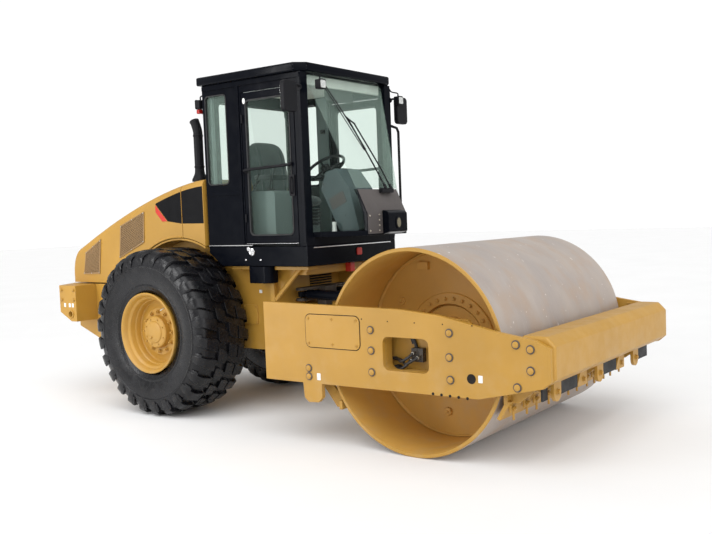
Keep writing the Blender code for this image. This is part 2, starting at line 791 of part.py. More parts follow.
def make_cab_posts():
    """Each front post with the header over its door."""
    for name, side in SIDES:
        ys = (CAB_FRONT_Y, CAB_FRONT_Y + POST)
        xs = span(side, CAB_HALF - POST, CAB_HALF)
        post = box(f"cab_post_{name}", xs, ys, (FLOOR_TOP + GAP, WALL_TOP), BLACK)
        header_ys = (CAB_FRONT_Y + POST - 0.01, AXLE_Y + PILLAR_FRONT - GAP)
        join(post, box("header", xs, header_ys, (DOOR_HIGH + FREE, WALL_TOP), BLACK))


def pane(name, outline, axis, limits):
    plate(name, [outline], axis, limits, GLAZING)


def make_cab_sides():
    """The pillar behind each door with the rear quarter panel and its pane."""
    front = AXLE_Y + PILLAR_FRONT
    window = ((front + 0.175, CAB_REAR_Y - 0.03), (2.09, 2.90))
    for name, side in SIDES:
        wall = rectangle((front, CAB_REAR_Y), (FLOOR_TOP + GAP, WALL_TOP))
        hole = rounded(rectangle(*window), 0.04)
        xs = span(side, CAB_HALF - WALL, CAB_HALF)
        plate(f"cab_side_{name}", [wall, hole], "X", xs, BLACK)
        inset = [(window[0][0] + 0.002, window[0][1] - 0.002), (2.092, 2.898)]
        glass_xs = span(side, CAB_HALF - 0.02, CAB_HALF - 0.02 + GLASS)
        pane(f"side_glass_{name}", rounded(rectangle(*inset), 0.04), "X", glass_xs)


def make_cab_rear():
    half = CAB_HALF - WALL - GAP
    ys = (CAB_REAR_Y - WALL, CAB_REAR_Y)
    wall = rectangle((-half, half), (FLOOR_TOP + GAP, WALL_TOP))
    hole = rounded(rectangle((-0.48, 0.48), (1.95, 2.86)), 0.05)
    plate("cab_rear_wall", [wall, hole], "Y", ys, BLACK)
    glass = rounded(rectangle((-0.478, 0.478), (1.952, 2.858)), 0.05)
    pane("rear_glass", glass, "Y", (CAB_REAR_Y - 0.02, CAB_REAR_Y - 0.02 + GLASS))


def make_roof():
    half = CAB_HALF + ROOF_OVER
    front = CAB_FRONT_Y - ROOF_OVER
    rear = CAB_REAR_Y + ROOF_OVER
    outline = [
        (-half, front + 0.09),
        (-half + 0.09, front),
        (half - 0.09, front),
        (half, front + 0.09),
        (half, rear),
        (-half, rear),
    ]
    bevel(plate("cab_roof", [outline], "Z", (ROOF_LOW, HEIGHT), BLACK), 0.012, 2)


def make_doors():
    front = CAB_FRONT_Y + POST + FREE
    rear = AXLE_Y + PILLAR_FRONT - FREE
    for name, side in SIDES:
        xs = span(side, CAB_HALF - DOOR_THICK, CAB_HALF)
        leaf = rectangle((front, rear), (DOOR_LOW, DOOR_HIGH))
        edges = (front + 0.045, rear - 0.045), (DOOR_LOW + 0.06, DOOR_HIGH - 0.06)
        hole = rounded(rectangle(*edges), 0.05)
        plate(f"door_{name}", [leaf, hole], "X", xs, BLACK)
        ys = (front + 0.047, rear - 0.047)
        zs = (DOOR_LOW + 0.062, DOOR_HIGH - 0.062)
        glass_xs = span(side, CAB_HALF - 0.02, CAB_HALF - 0.02 + GLASS)
        pane(f"door_glass_{name}", rounded(rectangle(ys, zs), 0.05), "X", glass_xs)


def make_seat():
    """The seat on its base, with the console at the operator's right hand."""
    y = CAB_FRONT_Y + SEAT_Y
    floor = FLOOR_TOP + GAP
    base = box("seat_base", (-0.20, 0.20), (y - 0.20, y + 0.20), (floor, 1.86), TRIM)
    console = rounded(rectangle((y - 0.30, y + 0.24), (floor + 0.04, 2.02)), 0.03)
    join(base, plate("console", [console], "X", (-0.52, -0.30), TRIM))
    join(base, box("shelf", (-0.32, -0.18), (y - 0.16, y + 0.16), (floor + 0.05, 1.82), TRIM))
    cushion = box("seat_cushion", (-0.25, 0.25), (y - 0.26, y + 0.20), (1.86 + GAP, 1.98), FABRIC)
    bevel(cushion, 0.03, 2)
    lean = [(0.14, 1.985), (0.26, 1.985), (0.34, 2.50), (0.25, 2.50)]
    back = plate("seat_back", [shifted(lean, y)], "X", (-0.24, 0.24), FABRIC)
    bevel(back, 0.03, 2)


def wheel_frame():
    """Centre of the steering wheel and the direction of its column."""
    centre = Vector((0, CAB_FRONT_Y + 0.30, 2.22))
    tilt = math.radians(32)
    return centre, Vector((0, math.sin(tilt), math.cos(tilt)))


def make_dash():
    front = CAB_FRONT_Y
    floor = NOSE_LOW + NOSE_THICK + GAP
    outline = [
        (front - 0.20, floor),
        (front + 0.02, floor),
        (front + 0.22, 2.02),
        (front + 0.16, 2.16),
        (front + 0.04, 2.20),
        (front - 0.10, 2.02),
    ]
    dash = plate("dash_console", [rounded(outline, 0.015, 2)], "X", (-0.17, 0.17), TRIM)
    centre, along = wheel_frame()
    join(dash, rod("column", centre - along * 0.26, centre - along * 0.05, 0.035, TRIM, 16))


def make_steering_wheel():
    centre, along = wheel_frame()
    bm = bmesh.new()
    bmesh.ops.create_circle(bm, segments=8, radius=0.014)
    turn = Matrix.Translation((0.19, 0, 0)) @ Matrix.Rotation(math.pi / 2, 4, "X")
    bmesh.ops.transform(bm, matrix=turn, verts=bm.verts)
    wheel = from_bmesh("steering_wheel", bm, BLACK)
    screw = wheel.modifiers.new("turn", "SCREW")
    screw.steps = 32
    screw.render_steps = 32
    screw.use_merge_vertices = True
    screw.merge_threshold = 0.0001
    wheel.location = centre
    wheel.rotation_euler = along.to_track_quat("Z", "Y").to_euler()
    hub = rod("wheel_hub", centre - along * 0.045, centre + along * 0.015, 0.045, BLACK, 16)
    join(wheel, hub)
    across = Vector((1, 0, 0))
    down = along.cross(across)
    for i in range(3):
        angle = math.radians(90 + 120 * i)
        out = across * math.cos(angle) + down * math.sin(angle)
        join(wheel, rod("spoke", centre - along * 0.01, centre + out * 0.188, 0.009, BLACK, 8))


def make_mirrors():
    for name, side in SIDES:
        y = CAB_FRONT_Y + 0.02
        head_xs = span(side, CAB_HALF + 0.07, CAB_HALF + 0.25)
        head = box(f"mirror_{name}", head_xs, (y - 0.06, y - 0.02), (2.64, 2.91), BLACK)
        bevel(head, 0.012, 2)
        start = (side * (CAB_HALF + GAP), y, 2.90)
        bend = (side * (CAB_HALF + 0.10), y, 2.90)
        points = [start, bend, (side * (CAB_HALF + 0.12), y - 0.04, 2.80)]
        join(head, tube("arm", points, 0.010))


def make_handle():
    x = CAB_HALF
    y = CAB_FRONT_Y + 0.03
    out = x + 0.09
    points = [(x + GAP, y, 2.62), (x + 0.05, y, 2.62)]
    points += [(out - 0.01, y - 0.04, 2.60), (out, y - 0.05, 2.56), (out, y - 0.05, 1.68)]
    points += [(out - 0.01, y - 0.04, 1.64), (x + 0.05, y, 1.62), (x + GAP, y, 1.62)]
    tube("grab_handle", points, 0.013)


def make_steps():
    """Two rungs between hangers, on the left of the frame ahead of the tyre."""
    ys = (AXLE_Y - 1.05, AXLE_Y - 0.81)
    inner = RAIL_HALF + GAP
    outer = 0.72
    ladder = box("step_ladder", (inner, outer), ys, (0.62, 0.645), BLACK)
    join(ladder, box("upper_rung", (inner, outer), ys, (0.98, 1.005), BLACK))
    for y in (ys[0], ys[1] - 0.012):
        hanger = rectangle((inner, inner + 0.05), (0.60, 1.34))
        join(ladder, plate("hanger", [hanger], "Y", (y, y + 0.012), BLACK))


# ---------------------------------------------------------------- wheels


def make_wheels():
    """Heights along each profile are distances from the machine's centre plane."""
    rim = [
        (0.000, 0.990),
        (0.140, 0.990),
        (0.150, 0.978),
        (0.150, 0.870),
        (0.215, 0.870),
        (0.215, 0.850),
        (0.296, 0.850),
        (0.303, 0.880),
        (0.310, 1.040),
        (0.340, 1.078),
        (RIM_RADIUS, 1.078),
        (RIM_RADIUS, 1.066),
        (0.345, 1.060),
        (BEAD_RADIUS, 1.040),
        (BEAD_RADIUS, 0.560),
        (0.345, 0.540),
        (RIM_RADIUS, 0.532),
        (RIM_RADIUS, 0.520),
        (0.340, 0.520),
        (0.310, 0.555),
        (0.303, 0.830),
        (0.190, 0.830),
        (0.190, AXLE_HALF + 0.004),
        (0.000, AXLE_HALF + 0.004),
    ]
    middle = (TYRE_INNER + TYRE_OUTER) / 2
    half = (TYRE_OUTER - TYRE_INNER) / 2
    outer_wall = [
        (TYRE_RADIUS, half - 0.085),
        (TYRE_RADIUS - 0.012, half - 0.045),
        (TYRE_RADIUS - 0.060, half - 0.014),
        (0.620, half - 0.001),
        (0.560, half),
        (0.470, half - 0.010),
        (0.385, half - 0.026),
        (0.376, half - 0.036),
        (BEAD_RADIUS + GAP, half - 0.056),
    ]
    tyre = [(radius, -height) for radius, height in outer_wall]
    tyre += [(radius, height) for radius, height in reversed(outer_wall)]
    centre = (0, AXLE_Y, AXLE_Z)
    for name, side in SIDES:
        turned(f"rim_{name}", rim, centre, side, WHEEL_STEPS, YELLOW)
        profile = [(radius, middle + height) for radius, height in tyre]
        turned(f"tyre_{name}", profile, centre, side, WHEEL_STEPS, RUBBER, closed=True)


def main():
    make_drum()
    make_side_plates()
    make_bumper()
    scraper("scraper_front", -1, 0.50, 0.94, 0.62 - GAP, 6)
    beam_foot = WHEELBASE / 2 + BEAM_FRONT + 0.02
    scraper("scraper_rear", 1, 0.32, beam_foot, BEAM_LOW - GAP, 6)
    make_crossmember()
    make_drum_mounts()
    make_hitch()
    make_rams()
    make_rear_frame()
    make_wheel_wells()
    make_axle()
    make_engine()
    make_counterweight()
    make_hood()
    make_exhaust()
    make_cab_floor()
    make_nose()
    make_windscreen()
    make_cab_posts()
    make_cab_sides()
    make_cab_rear()
    make_roof()
    make_doors()
    make_seat()
    make_dash()
    make_steering_wheel()
    make_mirrors()
    make_handle()
    make_steps()
    make_wheels()


main()
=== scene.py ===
"""Looks of the articulated road roller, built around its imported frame.

Every piece is made in the frame's own metres, with its object at the origin, and rides on the body it
belongs to. +Z is up, the drum is towards -Y and the machine's left is at +X.
"""

import json
import math
import random

import bmesh
import bpy
from mathutils import Matrix, Quaternion, Vector

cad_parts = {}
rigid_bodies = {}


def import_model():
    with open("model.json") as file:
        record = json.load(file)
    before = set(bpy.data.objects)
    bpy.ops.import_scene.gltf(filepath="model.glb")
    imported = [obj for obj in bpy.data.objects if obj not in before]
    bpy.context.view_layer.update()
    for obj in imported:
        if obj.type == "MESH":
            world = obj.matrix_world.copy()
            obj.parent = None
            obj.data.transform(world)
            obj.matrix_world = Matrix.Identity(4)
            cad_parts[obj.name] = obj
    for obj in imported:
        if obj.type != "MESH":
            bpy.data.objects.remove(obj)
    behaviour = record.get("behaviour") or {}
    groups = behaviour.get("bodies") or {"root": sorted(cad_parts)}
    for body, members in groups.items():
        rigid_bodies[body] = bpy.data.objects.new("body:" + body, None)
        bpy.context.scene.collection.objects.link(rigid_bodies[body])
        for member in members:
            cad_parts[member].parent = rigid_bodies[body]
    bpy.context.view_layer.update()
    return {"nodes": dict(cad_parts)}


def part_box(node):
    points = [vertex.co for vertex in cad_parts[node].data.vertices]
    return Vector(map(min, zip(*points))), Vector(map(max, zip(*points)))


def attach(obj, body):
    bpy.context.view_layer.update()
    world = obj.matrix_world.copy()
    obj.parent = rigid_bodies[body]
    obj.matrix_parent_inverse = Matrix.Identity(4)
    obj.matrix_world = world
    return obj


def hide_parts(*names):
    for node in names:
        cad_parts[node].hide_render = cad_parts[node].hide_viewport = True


for startup_object in list(bpy.data.objects):
    bpy.data.objects.remove(startup_object)
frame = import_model()

NODES = frame["nodes"]
SIDES = (("right", -1), ("left", 1))
DICE = random.Random(7)

# Places and sizes read from the frame
DRUM_LOW, DRUM_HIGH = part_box("drum_shell")
DRUM = (DRUM_LOW + DRUM_HIGH) / 2
DRUM_R = DRUM.z - DRUM_LOW.z
DRUM_HALF = DRUM_HIGH.x
TYRE_LOW, TYRE_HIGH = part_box("tyre_left")
AXLE = Vector((0, (TYRE_LOW.y + TYRE_HIGH.y) / 2, (TYRE_LOW.z + TYRE_HIGH.z) / 2))
TYRE_R = AXLE.z - TYRE_LOW.z
TYRE_MIDDLE = (TYRE_LOW.x + TYRE_HIGH.x) / 2
PIVOT_Y = (DRUM.y + AXLE.y) / 2
PLATE_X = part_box("front_plate_left")[1].x
BUMPER_LOW, BUMPER_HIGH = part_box("front_bumper")
BEAM_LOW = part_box("rear_crossmember")[0]
CAB_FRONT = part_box("cab_floor")[0].y
NOSE_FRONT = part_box("cab_nose")[0].y
DOOR_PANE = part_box("door_glass_left")
SIDE_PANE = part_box("side_glass_left")
REAR_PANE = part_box("rear_glass")
HOOD_LOW, HOOD_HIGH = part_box("hood")
COWL_LOW, COWL_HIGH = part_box("engine_cowl")
HOOD_X = HOOD_HIGH.x
TAIL_LOW, TAIL_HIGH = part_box("rear_frame")
WEIGHT_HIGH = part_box("counterweight")[1]
SEAT_LOW, SEAT_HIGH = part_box("seat_cushion")
BACK_LOW, BACK_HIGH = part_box("seat_back")

# Sizes and places of what is added to it
SHELL = 0.030  # thickness of the drum's steel
HEAD_FACE = 0.497  # of the drum's recessed heads, from the middle
GAP_X = (DRUM_HALF + PLATE_X - 0.04) / 2  # between the drum's rim and the side plates
LUGS = 26  # repeats of the tread round each half of a tyre
HOOD_START = COWL_LOW.y
SEAM = (COWL_HIGH.y + HOOD_LOW.y) / 2  # between the fixed cowl and the lifting hood
WALL = 0.022  # thickness of the hood's panels
ARCH_R = 0.856  # of the hood's cut over the wheel
RAIL_X = 0.450  # outer face of the rear frame's rails
FRAME_FRONT = 0.100  # front wall of the rear frame
SILL_Z = 1.352  # top of the channels under the cab
CAB_FACE = 0.6403  # a hair outside the cab's side walls
SCREEN_Y = -0.71  # foot of the raked pane
NOSE_HALF = 0.29
CONSOLE_TOP = 2.02
MAT_LOW, MAT_HIGH = 1.5305, 1.538
BOTTLE = (-0.215, -0.385)


# ---------------------------------------------------------------- outlines and paths


def rectangle(u, v):
    return [(u[0], v[0]), (u[1], v[0]), (u[1], v[1]), (u[0], v[1])]


def rounded(points, radius, steps=4):
    """The outline with each corner made an arc."""
    made = []
    for i, corner in enumerate(points):
        corner = Vector(corner)
        before = (Vector(points[i - 1]) - corner).normalized()
        after = (Vector(points[(i + 1) % len(points)]) - corner).normalized()
        half = before.angle(after) / 2
        reach = radius / math.tan(half)
        centre = corner + (before + after).normalized() * radius / math.sin(half)
        first = corner + before * reach - centre
        last = corner + after * reach - centre
        for step in range(steps + 1):
            made.append(tuple(centre + first.lerp(last, step / steps).normalized() * radius))
    return made


def rounded_box(u, v, radius, steps=4, margin=0.0):
    """A rectangle, grown by a margin, with round corners."""
    grown = rectangle((u[0] - margin, u[1] + margin), (v[0] - margin, v[1] + margin))
    return rounded(grown, radius, steps)


def arc(centre, radius, start, end, steps):
    points = []
    for i in range(steps + 1):
        angle = math.radians(start + (end - start) * i / steps)
        points.append((centre[0] + radius * math.cos(angle), centre[1] + radius * math.sin(angle)))
    return points


def oval(centre, half_u, half_v, steps):
    turns = [math.tau * i / steps for i in range(steps)]
    return [(centre[0] + half_u * math.cos(a), centre[1] + half_v * math.sin(a)) for a in turns]


def span(side, inner, outer):
    """The X range of something on one side, from two distances off the middle."""
    return tuple(sorted((side * inner, side * outer)))


def smooth_path(points, steps=8):
    """A Catmull-Rom curve through the points."""
    points = [Vector(p) for p in points]
    ends = [points[0] * 2 - points[1], *points, points[-1] * 2 - points[-2]]
    made = []
    for a, b, c, d in zip(ends, ends[1:], ends[2:], ends[3:]):
        for i in range(steps):
            t = i / steps
            made.append(
                (b * 2 + (c - a) * t + (a * 2 - b * 5 + c * 4 - d) * t * t
                 + (b * 3 - a - c * 3 + d) * t * t * t) / 2
            )
    return made + [points[-1]]


def in_space(axis, u, v, w):
    """(y, z) for axis X, (x, z) for axis Y and (x, y) for axis Z, at a place along the axis."""
    return {"X": (w, u, v), "Y": (u, w, v), "Z": (u, v, w)}[axis]


def axis_frame(axis):
    """The axis and two directions square to it, each of unit length."""
    axis = Vector(axis).normalized()
    across = axis.orthogonal().normalized()
    return axis, across, axis.cross(across)


def around(across, third, turn):
    return across * math.cos(turn) + third * math.sin(turn)


# ---------------------------------------------------------------- shapes, each added to a bmesh


def bridge(bm, rings):
    """Faces between each ring and the next; a ring that is one point gives triangles."""
    made = []
    for first, second in zip(rings, rings[1:]):
        for i in range(len(first)):
            j = (i + 1) % len(first)
            corners = dict.fromkeys((first[i], first[j], second[j], second[i]))
            if len(corners) > 2:
                made.append(bm.faces.new(tuple(corners)))
    return made


def loft(bm, rings):
    """A solid through the rings, closed at both ends."""
    bridge(bm, rings)
    bm.faces.new(rings[0])
    bm.faces.new(rings[-1])


def add_block(bm, x, y, z):
    size = Matrix.Diagonal((x[1] - x[0], y[1] - y[0], z[1] - z[0], 1))
    middle = Vector((x[0] + x[1], y[0] + y[1], z[0] + z[1])) / 2
    bmesh.ops.create_cube(bm, size=1, matrix=Matrix.Translation(middle) @ size)


def add_rod(bm, start, end, radius, segments=16, end_radius=None):
    start, end = Vector(start), Vector(end)
    turn = (end - start).to_track_quat("Z", "Y").to_matrix().to_4x4()
    bmesh.ops.create_cone(
        bm,
        cap_ends=True,
        segments=segments,
        radius1=radius,
        radius2=radius if end_radius is None else end_radius,
        depth=(end - start).length,
        matrix=Matrix.Translation((start + end) / 2) @ turn,
    )


def add_prism(bm, outline, axis, ends):
    loft(bm, [[bm.verts.new(in_space(axis, u, v, w)) for u, v in outline] for w in ends])


def add_plate(bm, outline, side, inner, outer):
    """A prism across the machine, on one side of it."""
    add_prism(bm, outline, "X", span(side, inner, outer))


def add_frame(bm, outer, width, axis, ends):
    """A flat frame following an outline, on its inside."""
    inner = []
    for i, p in enumerate(outer):
        before = (Vector(p) - Vector(outer[i - 1])).normalized()
        after = (Vector(outer[(i + 1) % len(outer)]) - Vector(p)).normalized()
        normal = Vector((-before.y - after.y, before.x + after.x)).normalized()
        scale = 1 / max(0.3, normal.dot(Vector((-before.y, before.x))))
        inner.append(tuple(Vector(p) + normal * width * scale))
    corners = ((outer, ends[0]), (outer, ends[1]), (inner, ends[1]), (inner, ends[0]))
    rings = [[bm.verts.new(in_space(axis, u, v, w)) for u, v in line] for line, w in corners]
    bridge(bm, rings + rings[:1])


def add_lathe(bm, profile, origin, axis, segments, closed=False):
    """A profile of (radius, height) points turned about an axis through the origin point."""
    axis, across, third = axis_frame(axis)
    turns = [around(across, third, math.tau * i / segments) for i in range(segments)]
    rings = []
    for radius, height in profile:
        centre = Vector(origin) + axis * height
        if radius < 1e-6:
            rings.append([bm.verts.new(centre)] * segments)
        else:
            rings.append([bm.verts.new(centre + out * radius) for out in turns])
    return bridge(bm, rings + rings[:1] if closed else rings)


def add_disc(bm, place, out, radius, thickness, segments):
    profile = [(0, 0), (radius, 0), (radius, thickness), (0, thickness)]
    add_lathe(bm, profile, place, out, segments)


def add_sweep(bm, points, radius, sides=8):
    """A round bar along the points; the radius is a number, or a function of the share of the way."""
    points = [Vector(p) for p in points]
    last = len(points) - 1
    rings, normal = [], None
    for i, point in enumerate(points):
        along = (points[min(i + 1, last)] - points[max(i - 1, 0)]).normalized()
        if normal is None:
            normal = along.orthogonal()
        normal = (normal - along * normal.dot(along)).normalized()
        third = along.cross(normal)
        size = radius(i / last) if callable(radius) else radius
        rings.append([
            bm.verts.new(point + around(normal, third, math.tau * k / sides) * size) for k in range(sides)
        ])
    loft(bm, rings)


def add_pipe(bm, points, radius, sides=8, steps=8):
    """A round bar along a smooth curve through the points."""
    add_sweep(bm, smooth_path(points, steps), radius, sides)


def add_bolt(bm, place, out, size, washer=True):
    """A hexagon head on its washer, its size the head's radius."""
    place, out = Vector(place), Vector(out).normalized()
    if washer:
        add_rod(bm, place, place + out * size * 0.22, size * 1.35, 20)
    add_rod(bm, place + out * size * 0.2, place + out * size * 0.95, size, 6)
    add_rod(bm, place + out * size * 0.9, place + out * size * 1.1, size * 0.72, 12, size * 0.6)


def add_bolt_circle(bm, centre, axis, radius, count, size, start=0.0):
    axis, across, third = axis_frame(axis)
    for i in range(count):
        out = around(across, third, math.tau * (i + start) / count)
        add_bolt(bm, Vector(centre) + out * radius, axis, size)


def add_screw(bm, place, out, size):
    """A low round head with a socket."""
    profile = [(0, 0.35), (0.45, 0.35), (0.5, 0.62), (0.8, 0.6), (1, 0.35), (1, 0), (0, 0)]
    add_lathe(bm, [(r * size, h * size) for r, h in profile], place, out, 14)


def add_weld(bm, points, radius=0.006):
    """A bead laid along a path, with the ripples of its passes."""
    ripple = 0.012
    length = sum((Vector(b) - Vector(a)).length for a, b in zip(points, points[1:]))
    steps = max(2, int(length / ripple / max(1, len(points) - 1)))
    path = []
    for a, b in zip(points, points[1:]):
        path += [Vector(a).lerp(Vector(b), i / steps) for i in range(steps)]
    path.append(Vector(points[-1]))
    add_sweep(bm, path, lambda share: radius * DICE.uniform(0.8, 1.15), 6)


# ---------------------------------------------------------------- materials


class Finish:
    """A Principled material with short ways to add procedural nodes; its colours are linear."""

    def __init__(self, name, slot, colour, roughness, metallic=0.0, **plain):
        self.material = bpy.data.materials.new(name)
        self.material.use_nodes = True
        self.material.diffuse_color = (*colour, 1)
        self.material["slot"] = slot
        self.tree = self.material.node_tree
        self.shader = self.tree.nodes["Principled BSDF"]
        self.colour = (*colour, 1)
        self.set("Base Color", self.colour)
        self.set("Roughness", roughness)
        self.set("Metallic", metallic)
        for key, value in plain.items():
            self.set(key.replace("_", " "), value)
        self.place = self.add("ShaderNodeTexCoord").outputs["Object"]

    def set(self, key, value):
        socket = self.shader.inputs[key]
        if isinstance(value, bpy.types.NodeSocket):
            self.tree.links.new(value, socket)
        else:
            socket.default_value = value

    def add(self, kind, inputs=(), **settings):
        node = self.tree.nodes.new(kind)
        for key, value in settings.items():
            setattr(node, key, value)
        for key, value in dict(inputs).items():
            if isinstance(value, bpy.types.NodeSocket):
                self.tree.links.new(value, node.inputs[key])
            else:
                node.inputs[key].default_value = value
        return node

    def noise(self, scale, detail=3.0, stretch=(1, 1, 1), rough=0.55):
        where = self.add("ShaderNodeMapping", {"Vector": self.place, "Scale": stretch})
        inputs = {"Vector": where.outputs[0], "Scale": scale, "Detail": detail, "Roughness": rough}
        return self.add("ShaderNodeTexNoise", inputs).outputs["Fac"]

    def cells(self, scale, feature="F1"):
        inputs = {"Vector": self.place, "Scale": scale}
        return self.add("ShaderNodeTexVoronoi", inputs, feature=feature).outputs["Distance"]

    def band(self, value, low, high, to_low=0.0, to_high=1.0):
        inputs = {0: value, 1: low, 2: high, 3: to_low, 4: to_high}
        return self.add("ShaderNodeMapRange", inputs, interpolation_type="SMOOTHSTEP").outputs[0]

    def math(self, operation, first, second=0.0):
        return self.add("ShaderNodeMath", {0: first, 1: second}, operation=operation).outputs[0]

    def mix(self, factor, first, second):
        node = self.add("ShaderNodeMix", {0: factor}, data_type="RGBA")
        for index, value in ((6, first), (7, second)):
            if isinstance(value, bpy.types.NodeSocket):
                self.tree.links.new(value, node.inputs[index])
            else:
                node.inputs[index].default_value = value
        return node.outputs[2]

    def height(self):
        return self.add("ShaderNodeSeparateXYZ", {0: self.place}).outputs[2]

    def bump(self, height, distance, strength=1.0, normal=None):
        inputs = {"Height": height, "Distance": distance, "Strength": strength}
        if normal:
            inputs["Normal"] = normal
        return self.add("ShaderNodeBump", inputs).outputs[0]

    def rounding(self, radius):
        """A normal that rounds the edges, and a mask that is 1 along them."""
        soft = self.add("ShaderNodeBevel", {"Radius": radius}, samples=4).outputs[0]
        flat = self.add("ShaderNodeNewGeometry").outputs["True Normal"]
        dot = self.add("ShaderNodeVectorMath", {0: soft, 1: flat}, operation="DOT_PRODUCT")
        return soft, self.band(dot.outputs["Value"], 0.99, 0.86)


def tone(colour, share):
    return (*(channel * share for channel in colour[:3]), 1)


def painted(name, slot, colour, roughness, wear, dust, **plain):
    """Enamel: faint orange peel, colour drift, rubbed edges, and dust that thins out upwards."""
    f = Finish(name, slot, colour, roughness, **plain)
    drift = f.noise(1.7, 4)
    shade = f.mix(f.band(drift, 0.3, 0.7), tone(colour, 0.93), tone(colour, 1.05))
    soft, edge = f.rounding(0.004)
    chips = f.math("MULTIPLY", edge, f.band(f.noise(46, 5), 0.50, 0.62))
    shade = f.mix(f.math("MULTIPLY", chips, wear[1]), shade, wear[0])
    settled = f.math("MULTIPLY", f.band(f.height(), 1.25, 0.1), f.band(f.noise(6.5, 6), 0.42, 0.75))
    shade = f.mix(f.math("MULTIPLY", settled, dust[1]), shade, dust[0])
    f.set("Base Color", shade)
    f.set("Roughness", f.band(f.noise(9, 5), 0.2, 0.8, roughness - 0.06, roughness + 0.12))
    f.set("Normal", f.bump(f.noise(420, 2), 0.0004, 0.25, soft))
    return f.material


def worn_steel():
    """Rolled steel plate, its scuffs running round the drum, with a few pale nicks."""
    f = Finish("drum_steel", "worn_steel", (0.40, 0.35, 0.31), 0.5, 0.45)
    parts = f.add("ShaderNodeSeparateXYZ", {0: f.place})
    y = f.math("SUBTRACT", parts.outputs[1], DRUM.y)
    z = f.math("SUBTRACT", parts.outputs[2], DRUM.z)
    turn = f.math("ARCTAN2", y, z)
    f.place = f.add("ShaderNodeCombineXYZ", {0: parts.outputs[0], 1: turn}).outputs[0]
    streaks = f.noise(5, 5, (9, 0.8, 1))
    clouds = f.noise(1.6, 4, (1.6, 1, 1), 0.45)
    shade = f.mix(f.band(clouds, 0.25, 0.75), (0.43, 0.375, 0.345, 1), (0.53, 0.455, 0.395, 1))
    shade = f.mix(f.band(streaks, 0.4, 0.8, 0, 0.45), shade, (0.57, 0.52, 0.49, 1))
    tan = f.math("MULTIPLY", f.band(f.noise(2.3, 6, (2, 1, 1)), 0.45, 0.68), 0.6)
    shade = f.mix(tan, shade, (0.50, 0.37, 0.275, 1))
    nicks = f.band(f.noise(30, 3, (1, 0.35, 1)), 0.68, 0.73)
    shade = f.mix(nicks, shade, (0.85, 0.80, 0.76, 1))
    f.set("Base Color", shade)
    f.set("Roughness", f.band(streaks, 0.25, 0.75, 0.36, 0.52))
    f.set("Normal", f.bump(f.noise(60, 5, (3, 0.6, 1)), 0.0012, 0.3))
    return f.material


def tyre_rubber():
    """Black rubber with a waxed sheen, fine mould grain and faint patches of dust."""
    f = Finish("tyre_black", "tyre_rubber", (0.007, 0.007, 0.008), 0.3, Specular_IOR_Level=0.32)
    shade = f.mix(f.band(f.noise(4, 5), 0.35, 0.7), (0.003, 0.003, 0.004, 1), (0.008, 0.008, 0.010, 1))
    dirt = f.math("MULTIPLY", f.band(f.noise(13, 6), 0.55, 0.76), 0.22)
    shade = f.mix(dirt, shade, (0.06, 0.052, 0.045, 1))
    f.set("Base Color", shade)
    f.set("Roughness", f.band(f.noise(16, 5), 0.25, 0.75, 0.16, 0.36))
    grain = f.math("ADD", f.noise(260, 2), f.math("MULTIPLY", f.noise(26, 4), 1.6))
    f.set("Normal", f.bump(grain, 0.0018, 0.35))
    return f.material


def tinted_glass():
    """Thin green-tinted glass: mostly see-through, with a sharp reflection and a trace of dust."""
    f = Finish("cab_glass", "tinted_glass", (0.42, 0.54, 0.48), 0.03)
    clear = f.add("ShaderNodeBsdfTransparent", {0: (0.955, 0.985, 0.968, 1)})
    facing = f.add("ShaderNodeLayerWeight", {"Blend": 0.28}).outputs["Fresnel"]
    film = f.band(f.noise(2.5, 5), 0.4, 0.8, 0.004, 0.016)
    share = f.math("ADD", f.math("MULTIPLY", facing, 0.26), film)
    mixed = f.add("ShaderNodeMixShader", {0: share, 1: clear.outputs[0], 2: f.shader.outputs[0]})
    f.tree.links.new(mixed.outputs[0], f.tree.nodes["Material Output"].inputs[0])
    return f.material


def woven(name, slot, colour):
    """Seat cloth: a fine over-and-under weave with slubs and rubbed lighter patches."""
    f = Finish(name, slot, colour, 0.85, Sheen_Weight=0.35, Sheen_Roughness=0.5)
    threads = []
    for direction in ("X", "Z"):
        inputs = {"Vector": f.place, "Scale": 120.0, "Distortion": 0.6, "Detail": 1.0}
        threads.append(f.add("ShaderNodeTexWave", inputs, bands_direction=direction).outputs["Fac"])
    weave = f.math("MAXIMUM", *threads)
    shade = f.mix(f.band(f.noise(7, 5), 0.35, 0.7), tone(colour, 0.8), tone(colour, 1.3))
    f.set("Base Color", f.mix(f.band(weave, 0.2, 0.9), tone(colour, 0.55), shade))
    f.set("Normal", f.bump(f.math("ADD", weave, f.noise(55, 3)), 0.0012, 0.6))
    return f.material


def moulded(name, slot, colour, roughness=0.55, grain=0.5):
    """Moulded plastic or rubber: a pebbled grain, edges polished by use."""
    f = Finish(name, slot, colour, roughness)
    soft, edge = f.rounding(0.003)
    shade = f.mix(f.band(f.noise(3, 4), 0.35, 0.7), tone(colour, 0.9), tone(colour, 1.1))
    f.set("Base Color", f.mix(f.math("MULTIPLY", edge, 0.35), shade, tone(colour, 1.6)))
    f.set("Roughness", f.band(f.noise(12, 4), 0.3, 0.7, roughness - 0.08, roughness + 0.1))
    f.set("Normal", f.bump(f.cells(380), 0.0006, grain, soft))
    return f.material


def bare_metal(name, slot, colour, roughness, grain, stretch=(1, 1, 1)):
    f = Finish(name, slot, colour, roughness, 1.0)
    soft, edge = f.rounding(0.002)
    marks = f.noise(grain, 5, stretch)
    shade = f.mix(f.band(marks, 0.3, 0.75), tone(colour, 0.75), colour + (1,))
    f.set("Base Color", f.mix(edge, shade, tone(colour, 1.25)))
    f.set("Roughness", f.band(marks, 0.25, 0.75, roughness * 0.7, roughness * 1.4))
    f.set("Normal", f.bump(marks, 0.0006, 0.3, soft))
    return f.material


